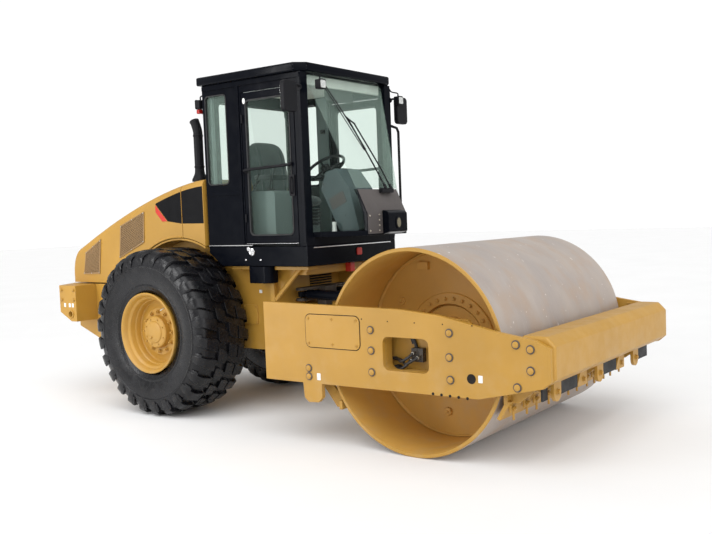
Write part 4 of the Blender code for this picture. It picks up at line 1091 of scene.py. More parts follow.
def make_tail():
    """Side louvres, tail lamps, the counterweight's bolts and labels, and the rear grille."""
    dress("counterweight", YELLOW, 0.008)
    dark, louvres, lamps, red, labels, fittings = (bmesh.new() for _ in range(6))
    face, y = TAIL_HIGH.x, WEIGHT_HIGH.y
    ring = [(0.031, 0), (0.031, 0.012), (0.040, 0.012), (0.042, 0.008), (0.042, 0)]
    for _, side in SIDES:
        out = (side, 0, 0)
        # a dark sheet behind the louvres: painted shade
        add_plate(dark, rectangle((2.49, 2.60), (0.925, 1.125)), side, face + 0.0003, face + 0.002)
        for i in range(6):
            z = 0.945 + 0.031 * i
            add_plate(louvres, rectangle((2.495, 2.595), (z, z + 0.017)), side, face + 0.001, face + 0.010)
        # tail lamps in the counterweight's rear corners
        for bm, xs, zs, radius, ys in (
            (lamps, (0.42, 0.58), (1.02, 1.10), 0.02, (y + 0.0003, y + 0.010)),
            (red, (0.435, 0.50), (1.03, 1.09), 0.012, (y + 0.009, y + 0.024)),
            (dark, (0.515, 0.57), (1.03, 1.09), 0.012, (y + 0.009, y + 0.014)),
        ):
            add_prism(bm, rounded_box(span(side, *xs), zs, radius), "Y", ys)
        for step in (0.0, 0.05, 0.13):
            sticker = rounded_box((2.50 + step, 2.53 + step), (0.945, 0.985), 0.003)
            add_plate(labels, sticker, side, 0.9003, 0.9015)
        add_lathe(fittings, ring, (side * WEIGHT_HIGH.x, AXLE.y + 1.385, 0.875), out, 28, True)
        for bolt_y, z in ((2.49, 1.12), (2.69, 1.12), (2.49, 1.02), (2.69, 1.02)):
            add_bolt(fittings, (side * WEIGHT_HIGH.x, bolt_y, z), out, 0.014)
    piece("tail_shadows", dark, SHADE_AND_RUBBER, "root")
    piece("tail_louvres", louvres, YELLOW, "root", edge=0.002)
    piece("tail_lamp_bodies", lamps, SATIN_BLACK, "root", edge=0.002)
    piece("tail_lamp_lenses", red, RED_LENS, "root", edge=0.003)
    piece("weight_labels", labels, LABEL, "root")
    piece("weight_fittings", fittings, YELLOW, "root")
    # rear grille in the hood's end, a dark sheet behind its bars as painted shade
    back, bars = bmesh.new(), bmesh.new()
    y = HOOD_HIGH.y
    add_block(back, (-0.42, 0.42), (y + 0.0004, y + 0.002), (1.22, 1.33))
    for i in range(9):
        z = 1.226 + 0.0125 * i
        add_block(bars, (-0.42, 0.42), (y + 0.001, y + 0.007), (z, z + 0.004))
    for zs in ((1.205, 1.22), (1.33, 1.345)):
        add_block(bars, (-0.44, 0.44), (y + 0.0006, y + 0.009), zs)
    piece("rear_grille_shade_sheet", back, SHADE_AND_RUBBER, "hood")
    piece("rear_grille_bars", bars, GRILLE, "hood")


# ---------------------------------------------------------------- frame details


def make_window_liners():
    """A welded collar behind each plate's window, with the drive hoses and a junction block inside."""
    ys, zs = (DRUM.y - 0.209, DRUM.y + 0.187), (0.646, 0.890)
    outer = rounded_box(ys, zs, 0.055, 6, 0.012)
    inner = rounded_box(ys, zs, 0.044, 6, -0.001)
    near, far = PLATE_X - 0.041, PLATE_X - 0.118
    for name, side in SIDES:
        out = Vector((side, 0, 0))
        bm = bmesh.new()
        rings = [
            [bm.verts.new((side * x, y, z)) for y, z in outline]
            for outline, x in ((outer, near), (outer, far), (inner, far), (inner, near))
        ]
        bridge(bm, rings + rings[:1])
        piece(f"window_collar_{name}", bm, YELLOW, "front_frame")
        block, pipes, ends = bmesh.new(), bmesh.new(), bmesh.new()
        xs = span(side, PLATE_X - 0.185, PLATE_X - 0.125)
        add_block(block, xs, (DRUM.y - 0.08, DRUM.y + 0.02), (0.70, 0.80))
        add_bolt_circle(block, (side * (PLATE_X - 0.125), DRUM.y - 0.03, 0.75), out, 0.034, 4, 0.007, 0.5)
        piece(f"hose_block_{name}", block, IRON, "front_frame", edge=0.003)
        for k, (dy, dz) in enumerate(((-0.05, 0.735), (-0.01, 0.765), (0.01, 0.715))):
            start = Vector((side * (PLATE_X - 0.124), DRUM.y + dy, dz))
            add_rod(ends, start, start + out * 0.03, 0.013, 6)
            path = [
                start + out * 0.025,
                start + Vector((side * 0.045, 0.03, -0.02 - 0.01 * k)),
                start + Vector((side * 0.035, 0.10, -0.05 - 0.012 * k)),
                start + Vector((-side * 0.02, 0.19, -0.03 - 0.02 * k)),
                (side * (PLATE_X - 0.13), DRUM.y + 0.34, 0.72 - 0.03 * k),
                (side * GAP_X, DRUM.y + 0.55, 0.71 - 0.03 * k),
                (side * GAP_X, DRUM.y + 0.70, 0.71 - 0.03 * k),
                (side * GAP_X, BEAM_LOW.y + 0.02, 0.72 - 0.03 * k),
            ]
            add_pipe(pipes, path, 0.011, 10)
        piece(f"window_hoses_{name}", pipes, HOSE, "front_frame")
        piece(f"window_fittings_{name}", ends, ZINC, "front_frame")


def make_scraper_details():
    """Under the front beam: hanging lugs, the blade's clamp bars with bolts, and rubber behind."""
    low = BUMPER_LOW.z
    y = BUMPER_LOW.y + 0.10
    half, drop = 0.058, 0.085  # of a hanging lug
    lugs, bars, rubber = bmesh.new(), bmesh.new(), bmesh.new()
    for x in (-0.87, -0.12, 0.63):
        outline = [(x - half, low + 0.004), (x - half, low - drop)]
        outline += arc((x, low - drop), half, 180, 360, 8)[1:]
        outline += [(x + half, low + 0.004)]
        add_prism(lugs, outline, "Y", (y, y + 0.025))
        gusset = [(y + 0.02, low + 0.003), (y + 0.14, low + 0.003), (y + 0.02, low - 0.10)]
        add_prism(lugs, gusset, "X", (x + 0.03, x + 0.05))
        add_bolt(lugs, (x, y, low - 0.075), (0, -1, 0), 0.019)
        add_weld(lugs, [(x - 0.05, y - 0.002, low - 0.002), (x + 0.05, y - 0.002, low - 0.002)])
    # the blade itself slopes down and in towards the drum, held by short clamp bars
    blade = [(-2.535, 0.482), (-2.500, 0.486), (-2.428, 0.356), (-2.452, 0.346)]
    down = Vector((0, blade[3][0] - blade[0][0], blade[3][1] - blade[0][1])).normalized()
    out = Vector((0, down.z, -down.y)).normalized()
    clamp = Vector((0, *blade[0])) + down * 0.055
    sections = ((-1.055, -0.70), (-0.685, -0.36), (-0.345, 0.0), (0.015, 0.36), (0.375, 0.70), (0.715, 1.055))
    for start, end in sections:
        middle = (start + end) / 2
        add_prism(bars, blade, "X", (start, end))
        for x in (middle - 0.10, middle + 0.10):
            place = Vector((x, clamp.y, clamp.z)) + out * 0.001
            face_y, face_z = place.y + out.y * 0.016, place.z + out.z * 0.016
            bar = [
                (place.y, place.z + 0.028), (face_y, face_z + 0.026), (face_y, face_z - 0.030),
                (place.y, place.z - 0.032),
            ]
            add_prism(bars, bar, "X", (x - 0.045, x + 0.045))
            add_bolt(bars, place + out * 0.015, out, 0.019)
            stud = place + out * 0.012
            add_rod(bars, stud + Vector((0, 0, -0.02)), stud + Vector((0, 0, -0.085)), 0.009, 10)
    for start, end in ((-1.03, -0.95), (-0.78, -0.46), (-0.03, 0.29), (0.72, 1.0)):
        add_block(rubber, (start, end), (y + 0.035, y + 0.050), (0.500, low - 0.004))
    # the blade holder's brackets, set back between the lugs
    for x in (-0.36, 0.39):
        add_block(lugs, (x - 0.085, x + 0.085), (y + 0.040, y + 0.060), (0.490, low - 0.002))
        gusset = [(y + 0.041, low - 0.003), (y + 0.012, low - 0.003), (y + 0.041, low - 0.11)]
        add_prism(lugs, gusset, "X", (x - 0.085, x - 0.065))
        add_bolt(lugs, (x + 0.02, y + 0.040, low - 0.085), (0, -1, 0), 0.017)
    piece("scraper_lugs", lugs, YELLOW, "front_frame", edge=0.0025)
    piece("scraper_bars", bars, YELLOW, "front_frame", edge=0.002)
    add_block(rubber, (-1.04, 1.04), (BUMPER_HIGH.y + 0.0006, BUMPER_HIGH.y + 0.014), (0.72, 0.90))
    piece("bumper_rubber", rubber, SEAL, "front_frame", edge=0.002)


def make_rear_frame_details():
    for node in ("rear_frame", "rear_axle", "wheel_well_left", "wheel_well_right"):
        dress(node, YELLOW, 0.004)
    for node in ("hitch_yoke", "engine_block"):
        dress(node, IRON, 0.005)
    for side in ("left", "right"):
        dress(f"steering_barrel_{side}", BLACK, 0.002)
    for side in ("left", "right"):
        dress(f"steering_rod_{side}", CHROME, 0.001)
    panel, bolts, dark, red, can, labels = (bmesh.new() for _ in range(6))
    puck = [(0, 0), (0.045, 0), (0.052, 0.006), (0.045, 0.0075), (0, 0.0075)]
    for _, side in SIDES:
        out = (side, 0, 0)
        # bolted cover on the rail, the post under the cab
        cover = rounded_box((0.36, 0.54), (0.81, 0.99), 0.008, 2)
        add_plate(panel, cover, side, RAIL_X + 0.0004, RAIL_X + 0.012)
        for y in (0.377, 0.523):
            for z in (0.827, 0.973):
                add_bolt(bolts, (side * (RAIL_X + 0.012), y, z), out, 0.008)
        for y, z in ((0.145, 0.72), (0.145, 0.86), (0.145, 0.98), (0.66, 1.16), (0.66, 1.02)):
            add_bolt(bolts, (side * (RAIL_X + 0.0004), y, z), out, 0.013)
        x = side * (RAIL_X - 0.002)
        add_weld(bolts, [(x, 0.099, 0.62), (x, 0.099, 1.04)], 0.005)
        add_plate(panel, rectangle((0.104, 0.154), (1.02, SILL_Z)), side, RAIL_X + 0.0004, RAIL_X + 0.05)
        # channel under the cab's sill with the isolators' bolts
        channel = rectangle((-0.36, 0.56), (SILL_Z - 0.03, SILL_Z))
        add_plate(panel, channel, side, RAIL_X - 0.02, RAIL_X + 0.11)
        x = side * (RAIL_X + 0.055)
        for y in (-0.30, 0.50):
            add_lathe(dark, puck, (x, y, SILL_Z), (0, 0, 1), 24)
            add_bolt(bolts, (x, y, SILL_Z - 0.03), (0, 0, -1), 0.016)
    # the diagonal brace and the louvred opening on the frame's front
    for _, side in SIDES:
        x = side * (RAIL_X + 0.025)
        a, b = Vector((x, -0.20, 1.335)), Vector((x, 0.115, 1.045))
        add_sweep(panel, [a, a.lerp(b, 0.5), b], 0.022, 6)
    y = FRAME_FRONT
    # a dark sheet behind the slats: painted shade in the opening
    add_block(dark, (-0.02, 0.30), (y - 0.002, y - 0.0004), (1.10, 1.27))
    for i in range(7):
        z = 1.108 + 0.024 * i
        slat = [(y - 0.001, z), (y - 0.018, z + 0.004), (y - 0.018, z + 0.009), (y - 0.001, z + 0.012)]
        add_prism(panel, slat, "X", (-0.015, 0.295))
    # black tank hung under the right sill
    plan = rounded_box((-(RAIL_X + 0.185), -(RAIL_X + 0.03)), (0.03, 0.305), 0.065, 8)
    add_prism(can, plan, "Z", (1.205, 1.357))
    # red switch box near the front foot of the cab
    add_block(red, (0.10, 0.165), (TAIL_LOW.y - 0.060, TAIL_LOW.y - 0.0004), (1.262, 1.345))
    for y, z in ((0.30, 1.10), (0.62, 0.90), (0.20, 0.90)):
        sticker = rounded_box((y, y + 0.035), (z, z + 0.03), 0.003)
        add_plate(labels, sticker, -1, RAIL_X + 0.0004, RAIL_X + 0.0016)
    piece("frame_plates", panel, YELLOW, "root", edge=0.0025)
    piece("frame_bolts", bolts, YELLOW, "root")
    piece("frame_shadows", dark, SHADE_AND_RUBBER, "root")
    piece("sill_tank", can, BLACK, "root", edge=0.008, segments=3)
    piece("switch_box", red, RED, "root", edge=0.003)
    piece("frame_labels", labels, LABEL, "root")

    # hitch: the pin's caps and their bolts
    caps = bmesh.new()
    cap = [(0, 0), (0.070, 0), (0.070, 0.008), (0.062, 0.012), (0, 0.012)]
    low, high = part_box("hitch_yoke")
    for z, up in ((high.z, 1), (low.z, -1)):
        add_lathe(caps, cap, (0, PIVOT_Y, z), (0, 0, up), 36)
        add_bolt_circle(caps, (0, PIVOT_Y, z + up * 0.012), (0, 0, up), 0.046, 6, 0.0075)
    piece("hitch_caps", caps, IRON, "hitch")

    dress("step_ladder", SATIN_BLACK)


def make_exhaust():
    """A flared foot, a straight stack and a slant-cut curved outlet."""
    low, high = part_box("exhaust_stack")
    x, y = (low.x + high.x) / 2, low.y + 0.075
    bm = bmesh.new()
    foot = [
        (0.0, 0.001), (0.074, 0.001), (0.0745, 0.020), (0.062, 0.045), (0.048, 0.075), (0.0445, 0.10),
        (0.0445, 0.11), (0, 0.11),
    ]
    add_lathe(bm, foot, (x, y, low.z), (0, 0, 1), 40)
    path = smooth_path([
        (x, y, low.z + 0.10), (x, y, low.z + 0.25), (x, y, low.z + 0.44), (x, y + 0.006, low.z + 0.485),
        (x, y + 0.022, low.z + 0.53), (x, y + 0.045, high.z - 0.012),
    ], 6)
    last = len(path) - 1
    tubes = []
    for radius in (0.0435, 0.0395):
        rings = []
        for i, p in enumerate(path):
            along = (path[min(i + 1, last)] - path[max(i - 1, 0)]).normalized()
            across = Vector((1, 0, 0))
            third = along.cross(across)
            ring = []
            for k in range(32):
                angle = math.tau * k / 32
                q = p + across * math.cos(angle) * radius + third * math.sin(angle) * radius
                if i == last:
                    q.z = min(high.z - 0.004 - (q.y - (y + 0.002)) * 0.55, high.z - 0.002)
                ring.append(bm.verts.new(q))
            rings.append(ring)
        tubes.append(rings)
    outer, inner = tubes
    for line in (outer, inner, [outer[-1], inner[-1]], [outer[0], inner[0]]):
        bridge(bm, line)
    piece("exhaust_pipe", bm, SATIN_BLACK, "root", ["exhaust_stack"])
    clamp = [(0.044, 0), (0.0475, 0.002), (0.0475, 0.016), (0.044, 0.018)]
    band = bmesh.new()
    for z in (low.z + 0.13, low.z + 0.42):
        add_lathe(band, clamp, (x, y, z), (0, 0, 1), 32, True)
        add_bolt(band, (x - 0.047, y, z + 0.009), (-1, 0, 0), 0.007, False)
    piece("exhaust_clamps", band, SATIN_BLACK, "root")


# ---------------------------------------------------------------- cab


def pane_outline(pane, axis, radius):
    """The outline of a pane's box, seen along an axis."""
    low, high = ((p.x if axis == "Y" else p.y, p.z) for p in pane)
    return rounded_box((low[0], high[0]), (low[1], high[1]), radius, 6)


def make_cab_shell():
    shell = ("floor", "nose", "post_left", "post_right", "side_left", "side_right", "rear_wall")
    for node in (*(f"cab_{part}" for part in shell), "door_left", "door_right"):
        dress(node, BLACK, 0.004)
    dress("cab_roof", BLACK, 0.010)
    panes = ("side_glass_left", "side_glass_right", "rear_glass", "door_glass_left", "door_glass_right")
    for node in ("windscreen", *panes):
        for slot in NODES[node].material_slots:
            slot.material = GLASS
    for name, side in SIDES:
        make_door_details(name, side)
        make_cab_side(name, side)
    rear = bmesh.new()
    add_frame(rear, pane_outline(REAR_PANE, "Y", 0.05), 0.010, "Y", (0.736, 0.763))
    piece("rear_seal", rear, SEAL, "root")
    tag = bmesh.new()
    outline = rounded_box((0.03, 0.10), (1.42, 1.485), 0.012)
    add_prism(tag, outline, "Y", (CAB_FRONT - 0.012, CAB_FRONT - 0.0004))
    piece("red_tag", tag, RED, "root", edge=0.003)


def make_door_details(name, side):
    """The door's seal, the bar across it with its latch and handle, its hinges and a blank label."""
    body = f"door_{name}"
    seals, knobs, plated, labels = (bmesh.new() for _ in range(4))
    add_frame(seals, pane_outline(DOOR_PANE, "X", 0.05), 0.012, "X", span(side, 0.6125, 0.6425))
    bar = ((0.644, 0.235, 2.19), (0.668, 0.225, 2.205), (0.670, 0.0, 2.215), (0.668, -0.27, 2.225),
           (0.644, -0.292, 2.235))
    add_pipe(knobs, [(side * x, y, z) for x, y, z in bar], 0.0135, 12)
    add_plate(knobs, rounded_box((-0.325, -0.265), (1.96, 2.14), 0.012), side, 0.6402, 0.652)
    handle = ((0.650, 1.98), (0.672, 2.0), (0.672, 2.10), (0.650, 2.12))
    add_pipe(knobs, [(side * x, -0.295, z) for x, z in handle], 0.008, 10, 6)
    for z in (1.75, 2.62):
        add_rod(plated, (side * 0.648, 0.262, z), (side * 0.648, 0.262, z + 0.07), 0.0085, 14)
    piece(f"door_seal_{name}", seals, SEAL, body)
    piece(f"door_bar_{name}", knobs, SATIN_BLACK, body)
    piece(f"door_hinges_{name}", plated, SATIN_BLACK, body)
    add_plate(labels, oval((0.237, 2.81), 0.016, 0.026, 24), side, CAB_FACE, 0.6412)
    piece(f"door_label_{name}", labels, LABEL, body)


def make_cab_side(name, side):
    """The fixed pane's seal, trim rails round it and the door, bright sill strips and the lock."""
    fixed, rails, strip, lock = (bmesh.new() for _ in range(4))
    add_frame(fixed, pane_outline(SIDE_PANE, "X", 0.04), 0.010, "X", span(side, 0.614, 0.6425))
    piece(f"side_seal_{name}", fixed, SEAL, "root")
    for ys, zs, outer in (
        ((0.296, 0.330), (1.56, 2.97), 0.650), ((-0.428, -0.390), (1.56, 2.97), 0.648),
        ((-0.42, 0.75), (2.945, 2.985), 0.652), ((0.335, 0.755), (1.995, 2.03), 0.646),
    ):
        add_plate(rails, rounded_box(ys, zs, 0.006, 2), side, CAB_FACE, outer)
    piece(f"cab_rails_{name}", rails, BLACK, "root", edge=0.002)
    add_plate(strip, rectangle((0.205, 0.755), (1.540, 1.547)), side, CAB_FACE, 0.6445)
    add_plate(strip, rectangle((-0.335, 0.275), (1.5565, 1.5595)), side, CAB_FACE, 0.6425)
    piece(f"sill_strip_{name}", strip, BRIGHT, "root")
    dish = [(0, 0), (0.034, 0), (0.037, 0.006), (0.034, 0.014), (0.022, 0.018), (0.018, 0.012), (0, 0.012)]
    add_lathe(lock, dish, (side * CAB_FACE, 0.215, 1.485), (side, 0, 0), 32)
    add_rod(lock, (side * 0.645, 0.245, 1.512), (side * 0.658, 0.245, 1.512), 0.018, 24)
    for y, z in ((0.115, 1.415), (0.295, 1.415)):
        add_screw(lock, (side * CAB_FACE, y, z), (side, 0, 0), 0.010)
    piece(f"sill_lock_{name}", lock, BRIGHT, "root")


def make_nose():
    """The nose's dark skin, its lamp in a box, its screws and the bright strip under it."""
    front = NOSE_FRONT
    box, glass, bolts, strip, bezel, skin = (bmesh.new() for _ in range(6))
    hood = [
        (front - 0.075, 1.625), (front - 0.0048, 1.605), (front - 0.0048, 1.815), (front - 0.055, 1.805),
        (front - 0.075, 1.785),
    ]
    add_prism(box, hood, "X", (-0.08, 0.20))
    add_prism(bezel, oval((0.055, 1.702), 0.036, 0.052, 32), "Y", (front - 0.084, front - 0.0752))
    piece("nose_lamp_bezel", bezel, SATIN_BLACK, "root", edge=0.002)
    add_prism(glass, oval((0.055, 1.702), 0.027, 0.041, 32), "Y", (front - 0.087, front - 0.0842))
    for z in (1.64, 1.685, 1.73, 1.775):
        add_screw(bolts, (-0.125, front - 0.0044, z), (0, -1, 0), 0.008)
    for x in (-0.26, 0.26):
        for z in (1.64, 1.77):
            add_screw(bolts, (x, front - 0.0044, z), (0, -1, 0), 0.009)
    add_prism(strip, rectangle((-0.56, 0.56), (1.512, 1.520)), "Y", (CAB_FRONT - 0.005, CAB_FRONT - 0.0004))
    outline = [
        (front - 0.0008, 1.615), (front - 0.0008, 1.791), (SCREEN_Y - 0.0012, 2.000),
        (SCREEN_Y - 0.0045, 2.000), (front - 0.0044, 1.7918), (front - 0.0044, 1.615),
    ]
    add_prism(skin, outline, "X", (-NOSE_HALF + 0.004, NOSE_HALF - 0.004))
    piece("nose_skin", skin, CHARCOAL, "root", edge=0.001)
    piece("nose_lamp_box", box, BLACK, "root", edge=0.006)
    piece("nose_lamp_lens", glass, DULL_LENS, "root", edge=0.001)
    piece("nose_bolts", bolts, ZINC, "root")
    piece("nose_strip", strip, BRIGHT, "root")


def screen_point(x, share, off):
    """A place outside the raked middle pane: share 0 at its foot, 1 at its head."""
    foot = Vector((x, SCREEN_Y, 2.010))
    head = Vector((x, -0.385, 2.985))
    place = foot.lerp(head, share)
    return place + Vector((0, -(head.z - foot.z), head.y - foot.y)).normalized() * off


def make_wiper():
    motor, arms, blade = bmesh.new(), bmesh.new(), bmesh.new()
    add_block(motor, (0.0, 0.17), (SCREEN_Y - 0.062, SCREEN_Y - 0.02), (1.968, 2.008))
    for x in (0.05, 0.13):
        add_rod(motor, (x, SCREEN_Y - 0.06, 2.0), screen_point(x, 0.02, 0.05), 0.013, 14)
    for x0, x1, top in ((0.05, -0.185, 0.62), (0.13, -0.115, 0.58)):
        knee = screen_point(x0 + (x1 - x0) * 0.3, 0.2, 0.05)
        add_pipe(arms, [screen_point(x0, 0.02, 0.045), knee, screen_point(x1, top, 0.045)], 0.0065, 8)
    add_sweep(arms, [screen_point(-0.20, 0.62, 0.045), screen_point(-0.10, 0.565, 0.045)], 0.007, 8)
    spine, rubber = [], []
    for i in range(9):
        x, share = -0.335 + 0.30 * i / 8, 0.90 - 0.56 * i / 8
        spine.append(screen_point(x, share, 0.030 + 0.006 * math.sin(math.pi * i / 8)))
        rubber.append(screen_point(x, share, 0.014))
    add_sweep(blade, spine, 0.006, 8)
    add_sweep(blade, rubber, 0.0045, 6)
    piece("wiper_motor", motor, SATIN_BLACK, "root", edge=0.006)
    piece("wiper_arms", arms, SATIN_BLACK, "root")
    piece("wiper_blade", blade, SEAL, "root")


# (x, y, z, the way it faces along Y) of each work lamp
WORK_LAMPS = (
    (-0.50, -0.50, 2.885, -1), (0.74, -0.43, 2.86, -1), (-0.60, 0.80, 2.84, 1), (0.60, 0.80, 2.84, 1),
)


def make_lamps():
    """Work lamps at the roof's corners, each a housing with a bezel, a lens and its bracket."""
    housing, lenses, brackets, red = (bmesh.new() for _ in range(4))
    half = 0.040
    for x, y, z, face in WORK_LAMPS:
        front = y + face * 0.055
        xs, zs = (x - half, x + half), (z - half, z + half)
        for bm, radius, margin, ends in (
            (housing, 0.012, 0.0, (y, front)),
            (housing, 0.014, 0.004, (front - face * 0.010, front + face * 0.0005)),
            (lenses, 0.01, -0.008, (front + face * 0.0008, front + face * 0.006)),
        ):
            add_prism(bm, rounded_box(xs, zs, radius, 3, margin), "Y", sorted(ends))
        bracket = [
            (x, y + face * 0.02, z + half - 0.004), (x, y + face * 0.02, z + half + 0.03),
            (x * 0.98, y - face * 0.04, z + half + 0.05), (x * 0.96, y - face * 0.06, 2.985),
        ]
        add_pipe(brackets, bracket, 0.0065, 8, 6)
        if face > 0:
            marker = rounded_box((x - 0.036, x + 0.036), (z - 0.085, z - 0.047), 0.008)
            add_prism(red, marker, "Y", (y + 0.01, y + 0.045))
    piece("lamp_housings", housing, SATIN_BLACK, "root", edge=0.004)
    piece("lamp_lenses", lenses, LAMP, "root", edge=0.002)
    piece("lamp_brackets", brackets, SATIN_BLACK, "root")
    piece("rear_markers", red, RED_LENS, "root", edge=0.003)


def make_mirrors():
    for name, side in SIDES:
        low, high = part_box(f"mirror_{name}")
        arm, shell, glass = bmesh.new(), bmesh.new(), bmesh.new()
        x = side * 0.800
        outline = rounded_box((x - 0.082, x + 0.082), (low.z + 0.002, high.z - 0.012), 0.035, 6)
        add_prism(shell, outline, "Y", (-0.462, -0.412))
        pane = rounded_box((x - 0.072, x + 0.072), (low.z + 0.014, high.z - 0.024), 0.028, 6)
        add_prism(glass, pane, "Y", (-0.4115, -0.4085))
        path = ((0.645, -0.420, 2.86), (0.69, -0.432, 2.875), (0.73, -0.44, 2.865), (0.765, -0.437, 2.82))
        add_pipe(arm, [(side * across, y, z) for across, y, z in path], 0.010, 10, 6)
        add_rod(arm, (side * 0.641, -0.420, 2.86), (side * 0.655, -0.420, 2.86), 0.024, 20)
        piece(f"mirror_shell_{name}", shell, SATIN_BLACK, "root", [f"mirror_{name}"], edge=0.010, segments=3)
        piece(f"mirror_pane_{name}", glass, MIRROR, "root")
        piece(f"mirror_arm_{name}", arm, SATIN_BLACK, "root")
    dress("grab_handle", SATIN_BLACK, 0.002)


def make_pad(name, node, size, place, turn, flutes):
    """A cushion: a square grid pulled onto a superellipse, swollen on top, fluted and piped."""
    cells, power = 48, 3.6
    shape = {}
    for i in range(cells + 1):
        for j in range(cells + 1):
            u, v = -1 + 2 * i / cells, -1 + 2 * j / cells
            m = max(abs(u), abs(v))
            n = (abs(u) ** power + abs(v) ** power) ** (1 / power)
            s = m / n if n > 1e-6 else 1
            x, y = u * s, v * s
            fall = (1 - m ** 6) ** 0.45
            swell = 0.80 + 0.20 * math.cos(x * math.pi / 2) * math.cos(y * math.pi / 2)
            line = sum(math.exp(-((x - at) / 0.035) ** 2) for at in flutes)
            piping = 0.05 * math.exp(-((m - 0.90) / 0.03) ** 2)
            wrinkle = 0.02 * math.sin(7 * x + 3 * y) * math.sin(5 * y - 2 * x) * m
            height = fall * (swell - 0.16 * line + piping + wrinkle)
            shape[i, j] = (x, y, height), (x * 0.98, y * 0.98, -0.55 * fall)
    bm = bmesh.new()
    matrix = Matrix.Translation(place) @ turn

    def vertex(p):
        return bm.verts.new(matrix @ Vector((p[0] * size[0], p[1] * size[1], p[2] * size[2])))

    tops = {k: vertex(top) for k, (top, _) in shape.items()}
    bottoms = {k: vertex(bottom) for k, (_, bottom) in shape.items()}
    for i in range(cells):
        for j in range(cells):
            for grid, way in ((tops, 1), (bottoms, -1)):
                quad = [grid[i, j], grid[i + 1, j], grid[i + 1, j + 1], grid[i, j + 1]]
                bm.faces.new(quad[::way])
    bmesh.ops.remove_doubles(bm, verts=bm.verts, dist=0.0008)
    piece(name, bm, CLOTH, "root", [node], sharp=60)


def make_seat():
    dress("seat_base", TRIM, 0.010)
    low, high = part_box("seat_base")
    skirt = bmesh.new()
    add_block(skirt, (low.x - 0.004, high.x + 0.004), (low.y - 0.004, high.y + 0.004), (1.5385, 1.610))
    piece("seat_skirt", skirt, SEAL, "root", edge=0.003)

    y = ((SEAT_LOW + SEAT_HIGH) / 2).y
    size = (0.252, 0.235, 0.075)
    make_pad("seat_pad", "seat_cushion", size, (0, y, 1.915), Matrix.Identity(4), (-0.62, 0.62))
    lean = math.atan2(0.08, 0.515)
    turn = Matrix.Rotation(math.radians(90) - lean, 4, "X")
    centre = Vector((0, (BACK_LOW.y + BACK_HIGH.y) / 2 + 0.018, (BACK_LOW.z + BACK_HIGH.z) / 2))
    make_pad("back_pad", "seat_back", (0.245, 0.265, 0.066), centre, turn, (-0.6, 0.6))

    # armrests with their brackets, and the bellows
    arms, bellows, metal = (bmesh.new() for _ in range(3))
    for _, side in SIDES:
        rest = [(y - 0.20, 2.115), (y + 0.17, 2.135), (y + 0.17, 2.185), (y - 0.20, 2.165)]
        add_plate(arms, rounded(rest, 0.018), side, 0.262, 0.318)
        bracket = ((0.285, y + 0.13, 2.13), (0.285, y + 0.20, 2.08), (0.24, y + 0.235, 2.05))
        add_pipe(metal, [(side * across, *place) for across, *place in bracket], 0.012, 10, 6)
    for i in range(5):
        z = 1.70 + 0.032 * i
        for half, ends in ((0.19, (z, z + 0.012)), (0.205, (z + 0.013, z + 0.024))):
            add_prism(bellows, rounded_box((-half, half), (y - half, y + half), 0.05), "Z", ends)
    piece("seat_arms", arms, PIPING, "root", edge=0.010, segments=3)
    piece("seat_bellows", bellows, SEAL, "root", edge=0.003)
    piece("seat_metal", metal, SATIN_BLACK, "root")


def make_controls():
    dress("dash_console", SLATE_TRIM, 0.006)
    dress("steering_wheel", SATIN_BLACK, 0.002)
    levers, knobs, screens, buttons, boots, pedals, mats = (bmesh.new() for _ in range(7))
    top = CONSOLE_TOP
    boot = [(0, 0), (0.034, 0), (0.033, 0.008), (0.022, 0.014), (0.024, 0.020), (0.014, 0.028), (0, 0.030)]
    knob = [(0, -0.02), (0.012, -0.018), (0.020, 0), (0.021, 0.018), (0.014, 0.032), (0, 0.036)]
    for x, y, lean in ((-0.44, 0.16, 0.02), (-0.36, 0.20, -0.02), (-0.44, 0.34, 0.03)):
        add_lathe(boots, boot, (x, y, top + 0.0005), (0, 0, 1), 24)
        head = (x + lean, y - 0.03, top + 0.17)
        add_pipe(levers, [(x, y, top + 0.02), (x + lean * 0.5, y - 0.01, top + 0.10), head], 0.006, 8, 5)
        add_lathe(knobs, knob, head, (0, -0.1, 1), 20)
    # rocker switches along the dash
    for i in range(5):
        x = -0.10 + 0.05 * i
        add_block(buttons, (x - 0.016, x + 0.016), (-0.345, -0.305), (2.196, 2.205))
    # panels with screws on the sides of the dash
    for _, side in SIDES:
        quad = [(-0.50, 1.90), (-0.34, 1.83), (-0.30, 1.93), (-0.46, 2.00)]
        add_plate(screens, rounded(quad, 0.01, 2), side, 0.1704, 0.1735)
        for y, z in ((-0.48, 1.78), (-0.28, 1.75), (-0.24, 2.06)):
            add_screw(screens, (side * 0.1704, y, z), (side, 0, 0), 0.006)
    tilt = [(-0.50, 1.69), (-0.42, 1.655), (-0.415, 1.665), (-0.495, 1.70)]
    for x in (-0.12, 0.12):
        add_prism(pedals, [(y + 0.30, z - 0.09) for y, z in tilt], "X", (x - 0.035, x + 0.035))
        add_sweep(levers, [(x, -0.155, 1.60), (x, -0.12, 1.56), (x, -0.10, 1.535)], 0.008, 8)
    add_block(mats, (-0.54, 0.54), (-0.37, 0.70), (MAT_LOW, MAT_HIGH))
    piece("floor_mat", mats, SEAL, "root", edge=0.003)
    piece("lever_boots", boots, SEAL, "root")
    piece("levers", levers, SATIN_BLACK, "root")
    piece("lever_knobs", knobs, PIPING, "root")
    piece("switches", buttons, SATIN_BLACK, "root", edge=0.002)
    piece("console_panels", screens, CHARCOAL, "root", edge=0.001)
    piece("pedals", pedals, SEAL, "root", edge=0.002)
    make_column()


